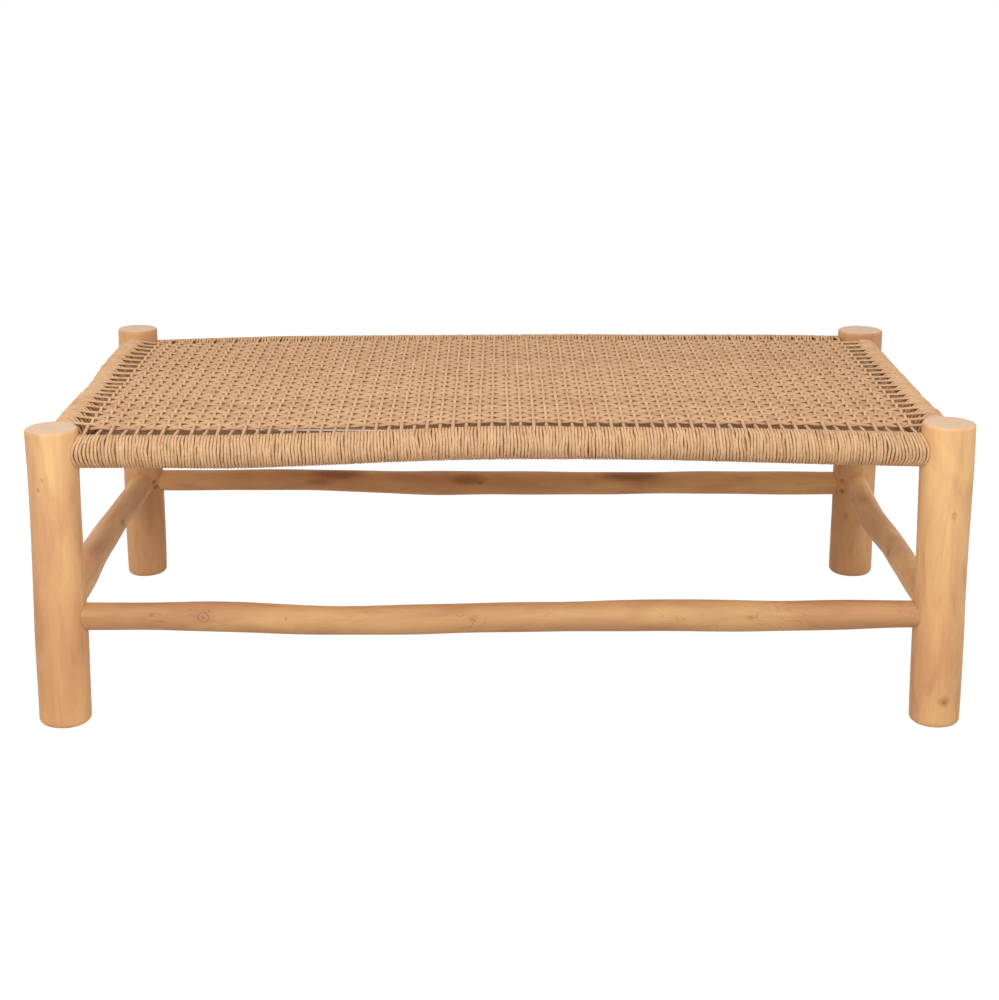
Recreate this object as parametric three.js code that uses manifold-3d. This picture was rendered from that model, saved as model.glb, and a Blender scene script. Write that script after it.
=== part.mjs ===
// Low table of peeled round logs with a woven cord top.
// Millimetres, x to the right, y to the back, z up, origin on the floor below the table's middle.
import * as THREE from 'three';
import { mergeVertices } from 'three/addons/utils/BufferGeometryUtils.js';
import Module from 'manifold-3d';

const wasm = await Module();
wasm.setup();

// Stance
const LEG_SPAN_X = 1133;
const LEG_SPAN_Y = 597;

// Legs, two of them sawn a little shorter than the others
const LEG_HEIGHT = 400;
const FRONT_LEFT_LEG_CUT = 6;
const REAR_RIGHT_LEG_CUT = 3;
const FRONT_LEFT_LEG_RADIUS = 33.8;
const FRONT_RIGHT_LEG_RADIUS = 33.6;
const REAR_LEFT_LEG_RADIUS = 30.5;
const REAR_RIGHT_LEG_RADIUS = 34;
const LEG_EDGE_ROUND = 4;

// Seat rails, stretchers and the round tenons that join them to the legs
const RAIL_DROP = 34;
const RAIL_HEIGHT = LEG_HEIGHT - RAIL_DROP;
const RAIL_WANDER = 8;
const LONG_RAIL_RADIUS = 17.7;
const SIDE_RAIL_RADIUS = 20;
const STRETCHER_HEIGHT = 146;
const STRETCHER_WANDER = 9;
const FRONT_STRETCHER_RADIUS = 19;
const REAR_STRETCHER_RADIUS = 17.6;
const SIDE_STRETCHER_RADIUS = 19;
const TENON_RADIUS = 12;
const MORTISE_WALL = 2;
const FIT_GAP = 0.3;

// Pegs that pin each tenon from the inside of the frame
const PEG_RADIUS = 3;
const PEG_PROUD = 1;
const PEG_BLIND = 3;

// Cord
const CORD = 3.5;
const TURN_PITCH = 4;
const END_TURNS = 3;
const CORD_BEND = CORD;
const LEAST_SELF_GAP = 0.4;

// Woven top, and the cords that return under it from end to end, with plain openings
const TOP_THICKNESS = 7;
const TOP_DROP = 1;
const LOWER_THICKNESS = 2;
const LOWER_MARGIN = 3;
const OPENING_COLUMN_COUNT = 10;
const OPENING_ROW_COUNT = 5;
const OPEN_SHARE = 0.55;
const SLOT_SHARE = 0.94;

// Half of the room between the wraps of two facing rails
const HALF_ROOM_X = LEG_SPAN_X / 2 - SIDE_RAIL_RADIUS - CORD;
const HALF_ROOM_Y = LEG_SPAN_Y / 2 - LONG_RAIL_RADIUS - CORD;

// How finely round things are drawn
const LEG_SIDES = 20;
const LOG_SIDES = 14;
const TENON_SIDES = 9;
const PEG_SIDES = 8;
const CORD_SIDES = 6;
const TURN_STEPS = 20;
const BEND_STEPS = 3;
const ROUND_STEPS = 2;
const LONG_LOG_STATIONS = 10;
const SIDE_LOG_STATIONS = 6;
const WELD = 0.0005;

// Girth of the log legs from foot to top, as shares of each leg's radius
const legs = {
  front_left: {
    x: -LEG_SPAN_X / 2,
    y: -LEG_SPAN_Y / 2,
    height: LEG_HEIGHT - FRONT_LEFT_LEG_CUT,
    radius: FRONT_LEFT_LEG_RADIUS,
    girthShares: [0.98, 0.99, 1, 0.98, 0.97, 0.97, 0.98, 1],
  },
  front_right: {
    x: LEG_SPAN_X / 2,
    y: -LEG_SPAN_Y / 2,
    height: LEG_HEIGHT,
    radius: FRONT_RIGHT_LEG_RADIUS,
    girthShares: [0.97, 0.99, 1, 0.98, 0.97, 0.98, 1, 0.99],
  },
  rear_left: {
    x: -LEG_SPAN_X / 2,
    y: LEG_SPAN_Y / 2,
    height: LEG_HEIGHT,
    radius: REAR_LEFT_LEG_RADIUS,
    girthShares: [0.99, 1, 0.99, 0.98, 0.99, 1, 0.99, 0.97],
  },
  rear_right: {
    x: LEG_SPAN_X / 2,
    y: LEG_SPAN_Y / 2,
    height: LEG_HEIGHT - REAR_RIGHT_LEG_CUT,
    radius: REAR_RIGHT_LEG_RADIUS,
    girthShares: [1, 0.99, 0.98, 0.99, 1, 0.99, 0.98, 0.99],
  },
};

// A side's own frame has y along the logs, z up and x across. Its start is at its low y end.
const sides = {
  front: {
    start: legs.front_left,
    end: legs.front_right,
    ends: ['left', 'right'],
    span: LEG_SPAN_X,
    stations: LONG_LOG_STATIONS,
    place: new THREE.Vector3(0, -LEG_SPAN_Y / 2, 0),
    turn: -Math.PI / 2,
    inward: -1,
  },
  rear: {
    start: legs.rear_left,
    end: legs.rear_right,
    ends: ['left', 'right'],
    span: LEG_SPAN_X,
    stations: LONG_LOG_STATIONS,
    place: new THREE.Vector3(0, LEG_SPAN_Y / 2, 0),
    turn: -Math.PI / 2,
    inward: 1,
  },
  left: {
    start: legs.front_left,
    end: legs.rear_left,
    ends: ['front', 'rear'],
    span: LEG_SPAN_Y,
    stations: SIDE_LOG_STATIONS,
    place: new THREE.Vector3(-LEG_SPAN_X / 2, 0, 0),
    turn: 0,
    inward: 1,
  },
  right: {
    start: legs.front_right,
    end: legs.rear_right,
    ends: ['front', 'rear'],
    span: LEG_SPAN_Y,
    stations: SIDE_LOG_STATIONS,
    place: new THREE.Vector3(LEG_SPAN_X / 2, 0, 0),
    turn: 0,
    inward: -1,
  },
};

// Each branch wanders up and across by shares of its wander, and swells by shares of its radius
const rails = {
  front: {
    radius: LONG_RAIL_RADIUS,
    height: RAIL_HEIGHT,
    wander: RAIL_WANDER,
    riseShares: [-0.38, -0.38, -0.4, 0, 0.55, 0.92, 0.88, 0.78, 0.5, 0.12, -0.25],
    acrossShares: [0, 0.1, 0.2, 0.1, -0.1, -0.2, -0.1, 0.1, 0.2, 0.1, 0],
    girthShares: [1, 0.98, 1, 0.97, 0.96, 1, 0.97, 0.98, 1.02, 1.03, 1],
  },
  rear: {
    radius: LONG_RAIL_RADIUS,
    height: RAIL_HEIGHT,
    wander: RAIL_WANDER,
    riseShares: [-0.88, -0.54, -0.2, 0.03, 0.2, 0.3, 0.31, 0.11, 0.13, 0.13, -0.13],
    acrossShares: [0, -0.15, -0.2, 0, 0.15, 0.2, 0.1, -0.1, -0.2, -0.1, 0],
    girthShares: [0.98, 1, 1.02, 1, 0.98, 0.97, 1, 1.02, 1, 0.98, 1],
  },
  left: {
    radius: SIDE_RAIL_RADIUS,
    height: RAIL_HEIGHT,
    wander: RAIL_WANDER,
    riseShares: [-0.1, 0.3, 0.3, -0.4, 0, 0.1, 0],
    acrossShares: [0.3, 0.9, 0.75, 0.35, 0, -0.05, 0],
    girthShares: [0.98, 1, 0.98, 0.96, 0.97, 1, 0.98],
  },
  right: {
    radius: SIDE_RAIL_RADIUS,
    height: RAIL_HEIGHT,
    wander: RAIL_WANDER,
    riseShares: [0.1, 0.2, 0.15, 0, 0, 0, 0],
    acrossShares: [0.3, -0.3, -0.6, -0.45, -0.4, -0.2, 0],
    girthShares: [1, 1.03, 1.02, 1.04, 1.02, 1, 1],
  },
};

const stretchers = {
  front: {
    radius: FRONT_STRETCHER_RADIUS,
    height: STRETCHER_HEIGHT,
    wander: STRETCHER_WANDER,
    riseShares: [-0.33, -0.27, -0.3, -0.89, -1, -0.7, -0.47, -0.2, -0.2, -0.13, -0.09],
    acrossShares: [0, 0.2, 0.35, 0.1, -0.2, -0.3, -0.1, 0.2, 0.3, 0.1, 0],
    girthShares: [0.91, 0.96, 1.04, 0.94, 0.99, 1.03, 1.03, 1.05, 1.02, 1.02, 0.9],
  },
  rear: {
    radius: REAR_STRETCHER_RADIUS,
    height: STRETCHER_HEIGHT,
    wander: STRETCHER_WANDER,
    riseShares: [0.7, 0.71, 0.67, 0.42, 0.17, 0.2, 0.19, 0.16, 0.13, 0.07, 0],
    acrossShares: [0, -0.2, -0.3, -0.1, 0.2, 0.3, 0.2, 0, -0.2, -0.1, 0],
    girthShares: [0.93, 0.9, 0.92, 1, 1.1, 1.03, 1.02, 1.02, 1.04, 1.02, 1],
  },
  left: {
    radius: SIDE_STRETCHER_RADIUS,
    height: STRETCHER_HEIGHT,
    wander: STRETCHER_WANDER,
    riseShares: [0.33, 0.6, 0.65, 0.2, 0.5, 0.6, 0.42],
    acrossShares: [0.3, 0.3, -0.4, -0.75, -0.4, 0, 0],
    girthShares: [0.96, 1.04, 1.06, 1.04, 1, 1.02, 0.96],
  },
  right: {
    radius: SIDE_STRETCHER_RADIUS,
    height: STRETCHER_HEIGHT,
    wander: STRETCHER_WANDER,
    riseShares: [0.33, 0.7, 0.4, -0.2, 0, 0.3, 0.55],
    acrossShares: [-0.3, -0.7, -0.6, -0.2, -0.8, -0.6, 0.1],
    girthShares: [0.94, 1, 0.98, 0.96, 0.98, 0.96, 0.92],
  },
};

const teak = { color: 0xdfa768, roughness: 0.55, metalness: 0 };
const pegWood = { color: 0xb98048, roughness: 0.6, metalness: 0 };
const wrapCord = { color: 0xd3a06c, roughness: 0.9, metalness: 0 };
const wovenCord = { color: 0xdcb088, roughness: 0.9, metalness: 0 };
const lowerCord = { color: 0xa87c52, roughness: 0.95, metalness: 0 };

// A smooth value at share u of the way through evenly spaced values
function smooth(values, u) {
  const last = values.length - 1;
  const place = THREE.MathUtils.clamp(u, 0, 1) * last;
  const i = Math.min(Math.floor(place), last - 1);
  const t = place - i;
  const [a, b, c, d] = [-1, 0, 1, 2].map((k) => values[THREE.MathUtils.clamp(i + k, 0, last)]);
  return b + (t * (c - a + t * (2 * a - 5 * b + 4 * c - d + t * (3 * (b - c) + d - a)))) / 2;
}

// The same, drawn straight between the stations where a log's rings lie
function stationed(values, u, count) {
  const i = THREE.MathUtils.clamp(Math.floor(u * count), 0, count - 1);
  return THREE.MathUtils.lerp(smooth(values, i / count), smooth(values, (i + 1) / count), u * count - i);
}

// A closed solid for cutting and joining, from a mesh whose shared corners are merged
function solidOf(geometry) {
  const bare = new THREE.BufferGeometry();
  bare.setAttribute('position', geometry.getAttribute('position'));
  bare.setIndex(geometry.getIndex());
  const merged = mergeVertices(bare, WELD);
  const index = Array.from(merged.getIndex().array);
  const corners = index.filter((_, i) => {
    const [a, b, c] = index.slice(i - (i % 3), i - (i % 3) + 3);
    return a !== b && b !== c && c !== a;
  });
  const vertProperties = new Float32Array(merged.getAttribute('position').array);
  return new wasm.Manifold(new wasm.Mesh({ numProp: 3, vertProperties, triVerts: new Uint32Array(corners) }));
}

function geometryOf(solid) {
  const { vertProperties, triVerts } = solid.getMesh();
  const geometry = new THREE.BufferGeometry();
  geometry.setAttribute('position', new THREE.BufferAttribute(vertProperties, 3));
  geometry.setIndex(new THREE.BufferAttribute(triVerts, 1));
  geometry.computeVertexNormals();
  return geometry;
}

function part(name, geometry, finish) {
  const mesh = new THREE.Mesh(geometry, new THREE.MeshStandardMaterial(finish));
  mesh.name = name;
  return mesh;
}

function largestPiece(solid) {
  return solid.decompose().sort((a, b) => b.volume() - a.volume())[0];
}

// Moves every corner of a mesh along y by the route that a branch takes
function follow(geometry, side, branch) {
  const corners = geometry.getAttribute('position');
  for (let i = 0; i < corners.count; i += 1) {
    const { across, up } = branchCentre(side, branch, corners.getY(i));
    corners.setX(i, corners.getX(i) + across);
    corners.setZ(i, corners.getZ(i) + up);
  }
  return geometry;
}

function branchCentre(side, branch, y) {
  const u = y / side.span + 1 / 2;
  return {
    across: branch.wander * stationed(branch.acrossShares, u, side.stations),
    up: branch.height + branch.wander * stationed(branch.riseShares, u, side.stations),
  };
}

function branchRadius(side, branch, y) {
  return branch.radius * stationed(branch.girthShares, y / side.span + 1 / 2, side.stations);
}

function legRadius(leg, z) {
  return leg.radius * stationed(leg.girthShares, z / leg.height, leg.girthShares.length - 1);
}

// A round log on end, with its two edges rounded, grown by a gap where it cuts its neighbours
function legGeometry(leg, gap) {
  const outline = [new THREE.Vector2(0, -gap)];
  const round = LEG_EDGE_ROUND + gap;
  for (let i = 0; i <= ROUND_STEPS; i += 1) {
    const angle = (i / ROUND_STEPS) * (Math.PI / 2);
    const out = legRadius(leg, 0) - LEG_EDGE_ROUND + round * Math.sin(angle);
    outline.push(new THREE.Vector2(out, LEG_EDGE_ROUND - round * Math.cos(angle)));
  }
  const stations = leg.girthShares.length;
  for (let i = 1; i < stations - 1; i += 1) {
    const z = (i / (stations - 1)) * leg.height;
    outline.push(new THREE.Vector2(legRadius(leg, z) + gap, z));
  }
  for (let i = 0; i <= ROUND_STEPS; i += 1) {
    const angle = (i / ROUND_STEPS) * (Math.PI / 2);
    const out = legRadius(leg, leg.height) - LEG_EDGE_ROUND + round * Math.cos(angle);
    outline.push(new THREE.Vector2(out, leg.height - LEG_EDGE_ROUND + round * Math.sin(angle)));
  }
  outline.push(new THREE.Vector2(0, leg.height + gap));
  return new THREE.LatheGeometry(outline, LEG_SIDES).rotateX(Math.PI / 2);
}

function logStations(side) {
  return Array.from({ length: side.stations + 1 }, (_, i) => (i / side.stations - 1 / 2) * side.span);
}

// A wandering log between its two legs' axes, or a rod whose flats lie outside all that covers it
function logGeometry(side, branch, cover) {
  const flats = cover > 0 ? Math.cos(Math.PI / LOG_SIDES) : 1;
  const skin = logStations(side).map(
    (y) => new THREE.Vector2((branchRadius(side, branch, y) + cover) / flats, y),
  );
  const outline = [new THREE.Vector2(0, -side.span / 2), ...skin, new THREE.Vector2(0, side.span / 2)];
  return follow(new THREE.LatheGeometry(outline, LOG_SIDES), side, branch);
}

// Where a branch meets the leg at one end of its side: end is -1 at the start, 1 at the end
function joint(side, branch, end) {
  const leg = end < 0 ? side.start : side.end;
  const legY = (end * side.span) / 2;
  const centre = branchCentre(side, branch, legY);
  const radius = legRadius(leg, centre.up);
  const reach = TENON_RADIUS + MORTISE_WALL;
  return { leg, end, legY, centre, radius, reach };
}

// A round bar along y between two distances from the leg's axis, at the joint's place
function bar(at, radius, near, far) {
  const length = far - near;
  const geometry = new THREE.CylinderGeometry(radius, radius, length, TENON_SIDES);
  const y = at.legY - (at.end * (near + far)) / 2;
  return geometry.translate(at.centre.across, y, at.centre.up);
}

function mortise(at) {
  return bar(at, TENON_RADIUS + FIT_GAP, at.reach - FIT_GAP, at.leg.radius + TENON_RADIUS);
}

function tenon(at) {
  return bar(at, TENON_RADIUS, at.reach, at.leg.radius + TENON_RADIUS);
}

// A peg across the tenon, from the frame's inside; pegs of neighbouring logs pass above each other
function pegGeometry(side, at, gap) {
  const fromAxis = (at.reach + at.radius) / 2;
  const height = at.centre.up + (side.turn === 0 ? 1 : -1) * (TENON_RADIUS / 2);
  const face = Math.sqrt(at.radius ** 2 - fromAxis ** 2);
  const outer = face + PEG_PROUD;
  const inner = -(TENON_RADIUS + PEG_BLIND + gap);
  const run = gap > 0 ? outer + at.radius : outer;
  const geometry = new THREE.CylinderGeometry(PEG_RADIUS + gap, PEG_RADIUS + gap, run - inner, PEG_SIDES);
  geometry.rotateZ(Math.PI / 2);
  return geometry.translate((side.inward * (run + inner)) / 2, at.legY - at.end * fromAxis, height);
}

function sideMatrix(side) {
  return new THREE.Matrix4().makeRotationZ(side.turn).setPosition(side.place);
}

// A branch with its shoulders scribed to both legs, a tenon at each end and its two peg holes
function branchSolid(side, branch) {
  const joints = [joint(side, branch, -1), joint(side, branch, 1)];
  let solid = solidOf(logGeometry(side, branch, 0));
  for (const at of joints) {
    solid = solid.subtract(solidOf(legGeometry(at.leg, FIT_GAP).translate(0, at.legY, 0)));
  }
  for (const at of joints) {
    solid = solid.add(solidOf(tenon(at))).subtract(solidOf(pegGeometry(side, at, FIT_GAP)));
  }
  return solid;
}

function legSolid(leg) {
  let solid = solidOf(legGeometry(leg, 0).translate(leg.x, leg.y, 0));
  for (const [name, side] of Object.entries(sides)) {
    for (const branch of [rails[name], stretchers[name]]) {
      for (const end of [-1, 1]) {
        const at = joint(side, branch, end);
        if (at.leg === leg) {
          solid = solid.subtract(solidOf(mortise(at).applyMatrix4(sideMatrix(side))));
          solid = solid.subtract(solidOf(pegGeometry(side, at, FIT_GAP).applyMatrix4(sideMatrix(side))));
        }
      }
    }
  }
  return solid;
}

// Route of a rail's end turns on the unrolled rail: straight from the leg, round a quarter bend,
// along the turns, round a quarter bend and straight to the wrap. Gives distance and angle.
function windingRoute(railRadius) {
  const middle = railRadius + FIT_GAP + CORD / 2;
  const heading = Math.PI / 2 - Math.atan(TURN_PITCH / (2 * Math.PI * middle));
  const steps = [{ length: CORD, turn: 0 }];
  for (let i = 0; i < BEND_STEPS; i += 1) {
    steps.push({ length: (CORD_BEND * heading) / BEND_STEPS, turn: heading / BEND_STEPS });
  }
  const loop = Math.hypot(2 * Math.PI * middle, TURN_PITCH);
  for (let i = 0; i < END_TURNS * TURN_STEPS; i += 1) {
    steps.push({ length: loop / TURN_STEPS, turn: 0 });
  }
  for (let i = 0; i < BEND_STEPS; i += 1) {
    steps.push({ length: (CORD_BEND * heading) / BEND_STEPS, turn: -heading / BEND_STEPS });
  }
  steps.push({ length: CORD, turn: 0 });
  const route = [{ out: 0, angle: 0 }];
  let direction = 0;
  for (const step of steps) {
    const from = route[route.length - 1];
    const along = direction + step.turn / 2;
    direction += step.turn;
    route.push({
      out: from.out + step.length * Math.cos(along),
      angle: from.angle + (step.length * Math.sin(along)) / middle,
    });
  }
  return route;
}

function windingPoints(side, rail, at) {
  const railRadius = branchRadius(side, rail, at.legY - at.end * at.radius);
  return windingRoute(railRadius).map(({ out, angle }) => {
    const y = at.legY - at.end * (at.radius + FIT_GAP + out);
    const { across, up } = branchCentre(side, rail, y);
    const radius = branchRadius(side, rail, y) + FIT_GAP + CORD / 2;
    const outward = new THREE.Vector3(Math.sin(angle), 0, -Math.cos(angle));
    const point = new THREE.Vector3(across, y, up).addScaledVector(outward, radius);
    return { point, outward };
  });
}

// Least gap between turns of one cord, between points half a turn or more apart along it
function leastGap(points) {
  let least = Infinity;
  for (let i = 0; i < points.length; i += 1) {
    for (let j = i + TURN_STEPS / 2; j < points.length; j += 1) {
      least = Math.min(least, points[i].point.distanceTo(points[j].point) - CORD);
    }
  }
  return least;
}

// One closed tube through the points, its section set out from each point's outward direction
function cordGeometry(points) {
  const places = [];
  const corners = [];
  points.forEach(({ point, outward }, i) => {
    const before = points[Math.max(i - 1, 0)].point;
    const after = points[Math.min(i + 1, points.length - 1)].point;
    const ahead = new THREE.Vector3().subVectors(after, before).normalize();
    const sideways = new THREE.Vector3().crossVectors(ahead, outward).normalize();
    const upright = new THREE.Vector3().crossVectors(sideways, ahead);
    for (let k = 0; k < CORD_SIDES; k += 1) {
      const angle = (k / CORD_SIDES) * 2 * Math.PI;
      const place = point.clone();
      place.addScaledVector(upright, (CORD / 2) * Math.cos(angle));
      place.addScaledVector(sideways, -(CORD / 2) * Math.sin(angle));
      places.push(place.x, place.y, place.z);
    }
  });
  for (let i = 0; i + 1 < points.length; i += 1) {
    for (let k = 0; k < CORD_SIDES; k += 1) {
      const next = (k + 1) % CORD_SIDES;
      const [a, b] = [i * CORD_SIDES + k, i * CORD_SIDES + next];
      corners.push(a, a + CORD_SIDES, b, b, a + CORD_SIDES, b + CORD_SIDES);
    }
  }
  const last = (points.length - 1) * CORD_SIDES;
  for (let k = 1; k + 1 < CORD_SIDES; k += 1) {
    corners.push(0, k, k + 1, last, last + k + 1, last + k);
  }
  const geometry = new THREE.BufferGeometry();
  geometry.setAttribute('position', new THREE.Float32BufferAttribute(places, 3));
  geometry.setIndex(corners);
  geometry.computeVertexNormals();
  return geometry;
}

// The packed wrap between the end turns: a closed skin one cord thick along the rail
function wrapGeometry(side, rail) {
  const wrapEnds = [-1, 1].map((end) => {
    const at = joint(side, rail, end);
    const railRadius = branchRadius(side, rail, at.legY - end * at.radius);
    const route = windingRoute(railRadius);
    const taken = route[route.length - 1].out;
    return at.legY - end * (at.radius + FIT_GAP + taken + FIT_GAP);
  });
  const between = logStations(side).filter((y) => y > wrapEnds[0] && y < wrapEnds[1]);
  const stations = [wrapEnds[0], ...between, wrapEnds[1]];
  const radiusAt = (y) => branchRadius(side, rail, y) + FIT_GAP;
  const outer = stations.map((y) => new THREE.Vector2(radiusAt(y) + CORD, y));
  const inner = stations.map((y) => new THREE.Vector2(radiusAt(y), y)).reverse();
  const outline = [...outer, ...inner, outer[0].clone()];
  return follow(new THREE.LatheGeometry(outline, LOG_SIDES), side, rail);
}

// A solid rod that fills a wrap and its rail, grown by the fit gap, for cutting what meets it
function wrapCutter(side, rail) {
  return solidOf(logGeometry(side, rail, CORD + 2 * FIT_GAP).applyMatrix4(sideMatrix(side)));
}

// Height of a covered rail's crown or underside at a place along it
function crownHeight(name, y) {
  const side = sides[name];
  const radius = branchRadius(side, rails[name], y) + FIT_GAP + CORD;
  return branchCentre(side, rails[name], y).up + radius;
}

function undersideHeight(name, y) {
  const side = sides[name];
  const radius = branchRadius(side, rails[name], y) + FIT_GAP + CORD;
  return branchCentre(side, rails[name], y).up - radius;
}

// The surface stretched between the four rails' crowns: it follows each rail that it is close to
function topHeight(x, y) {
  const alongX = THREE.MathUtils.lerp(crownHeight('front', x), crownHeight('rear', x), y / LEG_SPAN_Y + 1 / 2);
  const alongY = THREE.MathUtils.lerp(crownHeight('left', y), crownHeight('right', y), x / LEG_SPAN_X + 1 / 2);
  const fromEnds = (LEG_SPAN_X / 2) ** 2 - x ** 2;
  const fromLongRails = (LEG_SPAN_Y / 2) ** 2 - y ** 2;
  const total = fromEnds + fromLongRails;
  return THREE.MathUtils.lerp(alongY, alongX, total > 0 ? fromEnds / total : 1 / 2);
}

// Where a row of even openings begins and ends, between two edges that are in the row as well
function openingLines(edge, half, count, openShare) {
  const pitch = (2 * half) / count;
  const lines = [-edge];
  for (let i = 0; i < count; i += 1) {
    const middle = (i + 1 / 2) * pitch - half;
    lines.push(middle - (openShare * pitch) / 2, middle + (openShare * pitch) / 2);
  }
  return [...lines, edge];
}

// A closed sheet over two rows of lines, between a top and a bottom height at each place. Every
// other cell both ways is an opening.
function sheetGeometry(linesX, linesY, topAt, bottomAt) {
  const cellsX = linesX.length - 1;
  const cellsY = linesY.length - 1;
  const places = [];
  const corners = [];
  const layer = (cellsX + 1) * (cellsY + 1);
  for (const heightAt of [topAt, bottomAt]) {
    for (let j = 0; j <= cellsY; j += 1) {
      for (let i = 0; i <= cellsX; i += 1) {
        places.push(linesX[i], linesY[j], heightAt(linesX[i], linesY[j]));
      }
    }
  }
  const node = (i, j) => j * (cellsX + 1) + i;
  const wall = (a, b) => corners.push(a, a + layer, b, b, a + layer, b + layer);
  for (let j = 0; j < cellsY; j += 1) {
    for (let i = 0; i < cellsX; i += 1) {
      const [a, b, c, d] = [node(i, j), node(i + 1, j), node(i + 1, j + 1), node(i, j + 1)];
      if (i % 2 === 1 && j % 2 === 1) {
        [[b, a], [c, b], [d, c], [a, d]].forEach(([from, to]) => wall(from, to));
      } else {
        corners.push(a, b, c, a, c, d);
        corners.push(a + layer, c + layer, b + layer, a + layer, d + layer, c + layer);
      }
    }
  }
  for (let i = 0; i < cellsX; i += 1) {
    wall(node(i, 0), node(i + 1, 0));
    wall(node(i + 1, cellsY), node(i, cellsY));
  }
  for (let j = 0; j < cellsY; j += 1) {
    wall(node(cellsX, j), node(cellsX, j + 1));
    wall(node(0, j + 1), node(0, j));
  }
  const geometry = new THREE.BufferGeometry();
  geometry.setAttribute('position', new THREE.Float32BufferAttribute(places, 3));
  geometry.setIndex(corners);
  return geometry;
}

// The piece of a sheet that lies between the covered rails and the legs
function largestBetweenRails(sheet) {
  let solid = sheet;
  for (const [name, side] of Object.entries(sides)) {
    solid = solid.subtract(wrapCutter(side, rails[name]));
  }
  for (const leg of Object.values(legs)) {
    solid = solid.subtract(solidOf(legGeometry(leg, FIT_GAP).translate(leg.x, leg.y, 0)));
  }
  return largestPiece(solid);
}

function wovenTopSolid() {
  const topAt = (x, y) => topHeight(x, y) - TOP_DROP;
  const bottomAt = (x, y) => topAt(x, y) - TOP_THICKNESS;
  const linesX = openingLines(LEG_SPAN_X / 2, HALF_ROOM_X, OPENING_COLUMN_COUNT, OPEN_SHARE);
  const linesY = openingLines(LEG_SPAN_Y / 2, HALF_ROOM_Y, OPENING_ROW_COUNT, OPEN_SHARE);
  return largestBetweenRails(solidOf(sheetGeometry(linesX, linesY, topAt, bottomAt)));
}

// The returning cords run from side rail to side rail, clear of the long rails, with slots between
function lowerLayerSolid() {
  const bottomAt = (x, y) => {
    const u = x / LEG_SPAN_X + 1 / 2;
    return THREE.MathUtils.lerp(undersideHeight('left', y), undersideHeight('right', y), u) + FIT_GAP;
  };
  const topAt = (x, y) => bottomAt(x, y) + LOWER_THICKNESS;
  const longRail = LONG_RAIL_RADIUS + FIT_GAP + CORD + LOWER_MARGIN;
  const linesX = openingLines(LEG_SPAN_X / 2, HALF_ROOM_X, 1, SLOT_SHARE);
  const linesY = openingLines(LEG_SPAN_Y / 2 - longRail, HALF_ROOM_Y, OPENING_ROW_COUNT, OPEN_SHARE);
  return largestBetweenRails(solidOf(sheetGeometry(linesX, linesY, topAt, bottomAt)));
}

const table = new THREE.Group();
table.name = 'woven_log_table';

for (const [name, leg] of Object.entries(legs)) {
  const mesh = part(`${name}_leg`, geometryOf(legSolid(leg)).translate(-leg.x, -leg.y, 0), teak);
  mesh.position.set(leg.x, leg.y, 0);
  table.add(mesh);
}

let leastTurnGap = Infinity;
for (const [name, side] of Object.entries(sides)) {
  const frame = new THREE.Group();
  frame.position.copy(side.place);
  frame.rotation.z = side.turn;
  const rail = rails[name];
  frame.add(part(`${name}_seat_rail`, geometryOf(branchSolid(side, rail)), teak));
  frame.add(part(`${name}_stretcher`, geometryOf(branchSolid(side, stretchers[name])), teak));
  frame.add(part(`${name}_rail_wrap`, wrapGeometry(side, rail), wrapCord));
  side.ends.forEach((endName, i) => {
    const end = 2 * i - 1;
    const at = joint(side, rail, end);
    const points = windingPoints(side, rail, at);
    leastTurnGap = Math.min(leastTurnGap, leastGap(points));
    frame.add(part(`${name}_rail_end_turns_${endName}`, cordGeometry(points), wrapCord));
    frame.add(part(`${name}_rail_peg_${endName}`, pegGeometry(side, at, 0), pegWood));
    const low = joint(side, stretchers[name], end);
    frame.add(part(`${name}_stretcher_peg_${endName}`, pegGeometry(side, low, 0), pegWood));
  });
  table.add(frame);
}
console.log(`least gap between turns of one cord: ${leastTurnGap.toFixed(3)} mm, over ${LEAST_SELF_GAP}`);

table.add(part('woven_top', geometryOf(wovenTopSolid()), wovenCord));
table.add(part('lower_cord_layer', geometryOf(lowerLayerSolid()), lowerCord));

export default table;
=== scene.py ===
"""Low table of peeled teak logs with a top woven from cord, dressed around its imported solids.

Metres, x to the right, y to the back and z up, with the origin on the floor below the table's middle.
"""
import logging
import math
from dataclasses import dataclass, field
from enum import Enum
from typing import Callable, Iterable

import bpy
import numpy as np
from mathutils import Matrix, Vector


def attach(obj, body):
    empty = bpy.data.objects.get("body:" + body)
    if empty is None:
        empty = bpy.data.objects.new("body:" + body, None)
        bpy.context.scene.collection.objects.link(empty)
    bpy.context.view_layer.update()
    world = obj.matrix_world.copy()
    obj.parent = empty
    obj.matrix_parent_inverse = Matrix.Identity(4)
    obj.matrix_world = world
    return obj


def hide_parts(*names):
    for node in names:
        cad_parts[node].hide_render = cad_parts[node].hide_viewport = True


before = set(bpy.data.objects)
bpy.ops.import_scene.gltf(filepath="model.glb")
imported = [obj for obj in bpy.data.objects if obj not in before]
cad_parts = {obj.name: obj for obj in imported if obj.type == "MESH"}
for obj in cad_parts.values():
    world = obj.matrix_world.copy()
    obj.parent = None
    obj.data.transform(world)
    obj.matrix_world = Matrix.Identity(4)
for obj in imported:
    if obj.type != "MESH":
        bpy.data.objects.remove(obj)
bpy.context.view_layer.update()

LOG = logging.getLogger("table")
Array = np.ndarray
Colour = tuple[float, float, float]
Place = tuple[float, float, float]
Shares = tuple[float, ...]
Lumps = tuple[tuple[int, float, float], ...]

# The one body that all pieces ride on
BODY = "root"

# Stance, in metres between the legs' axes
SPAN_X = 1.133
SPAN_Y = 0.597
FIT_GAP = 0.0003

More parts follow.
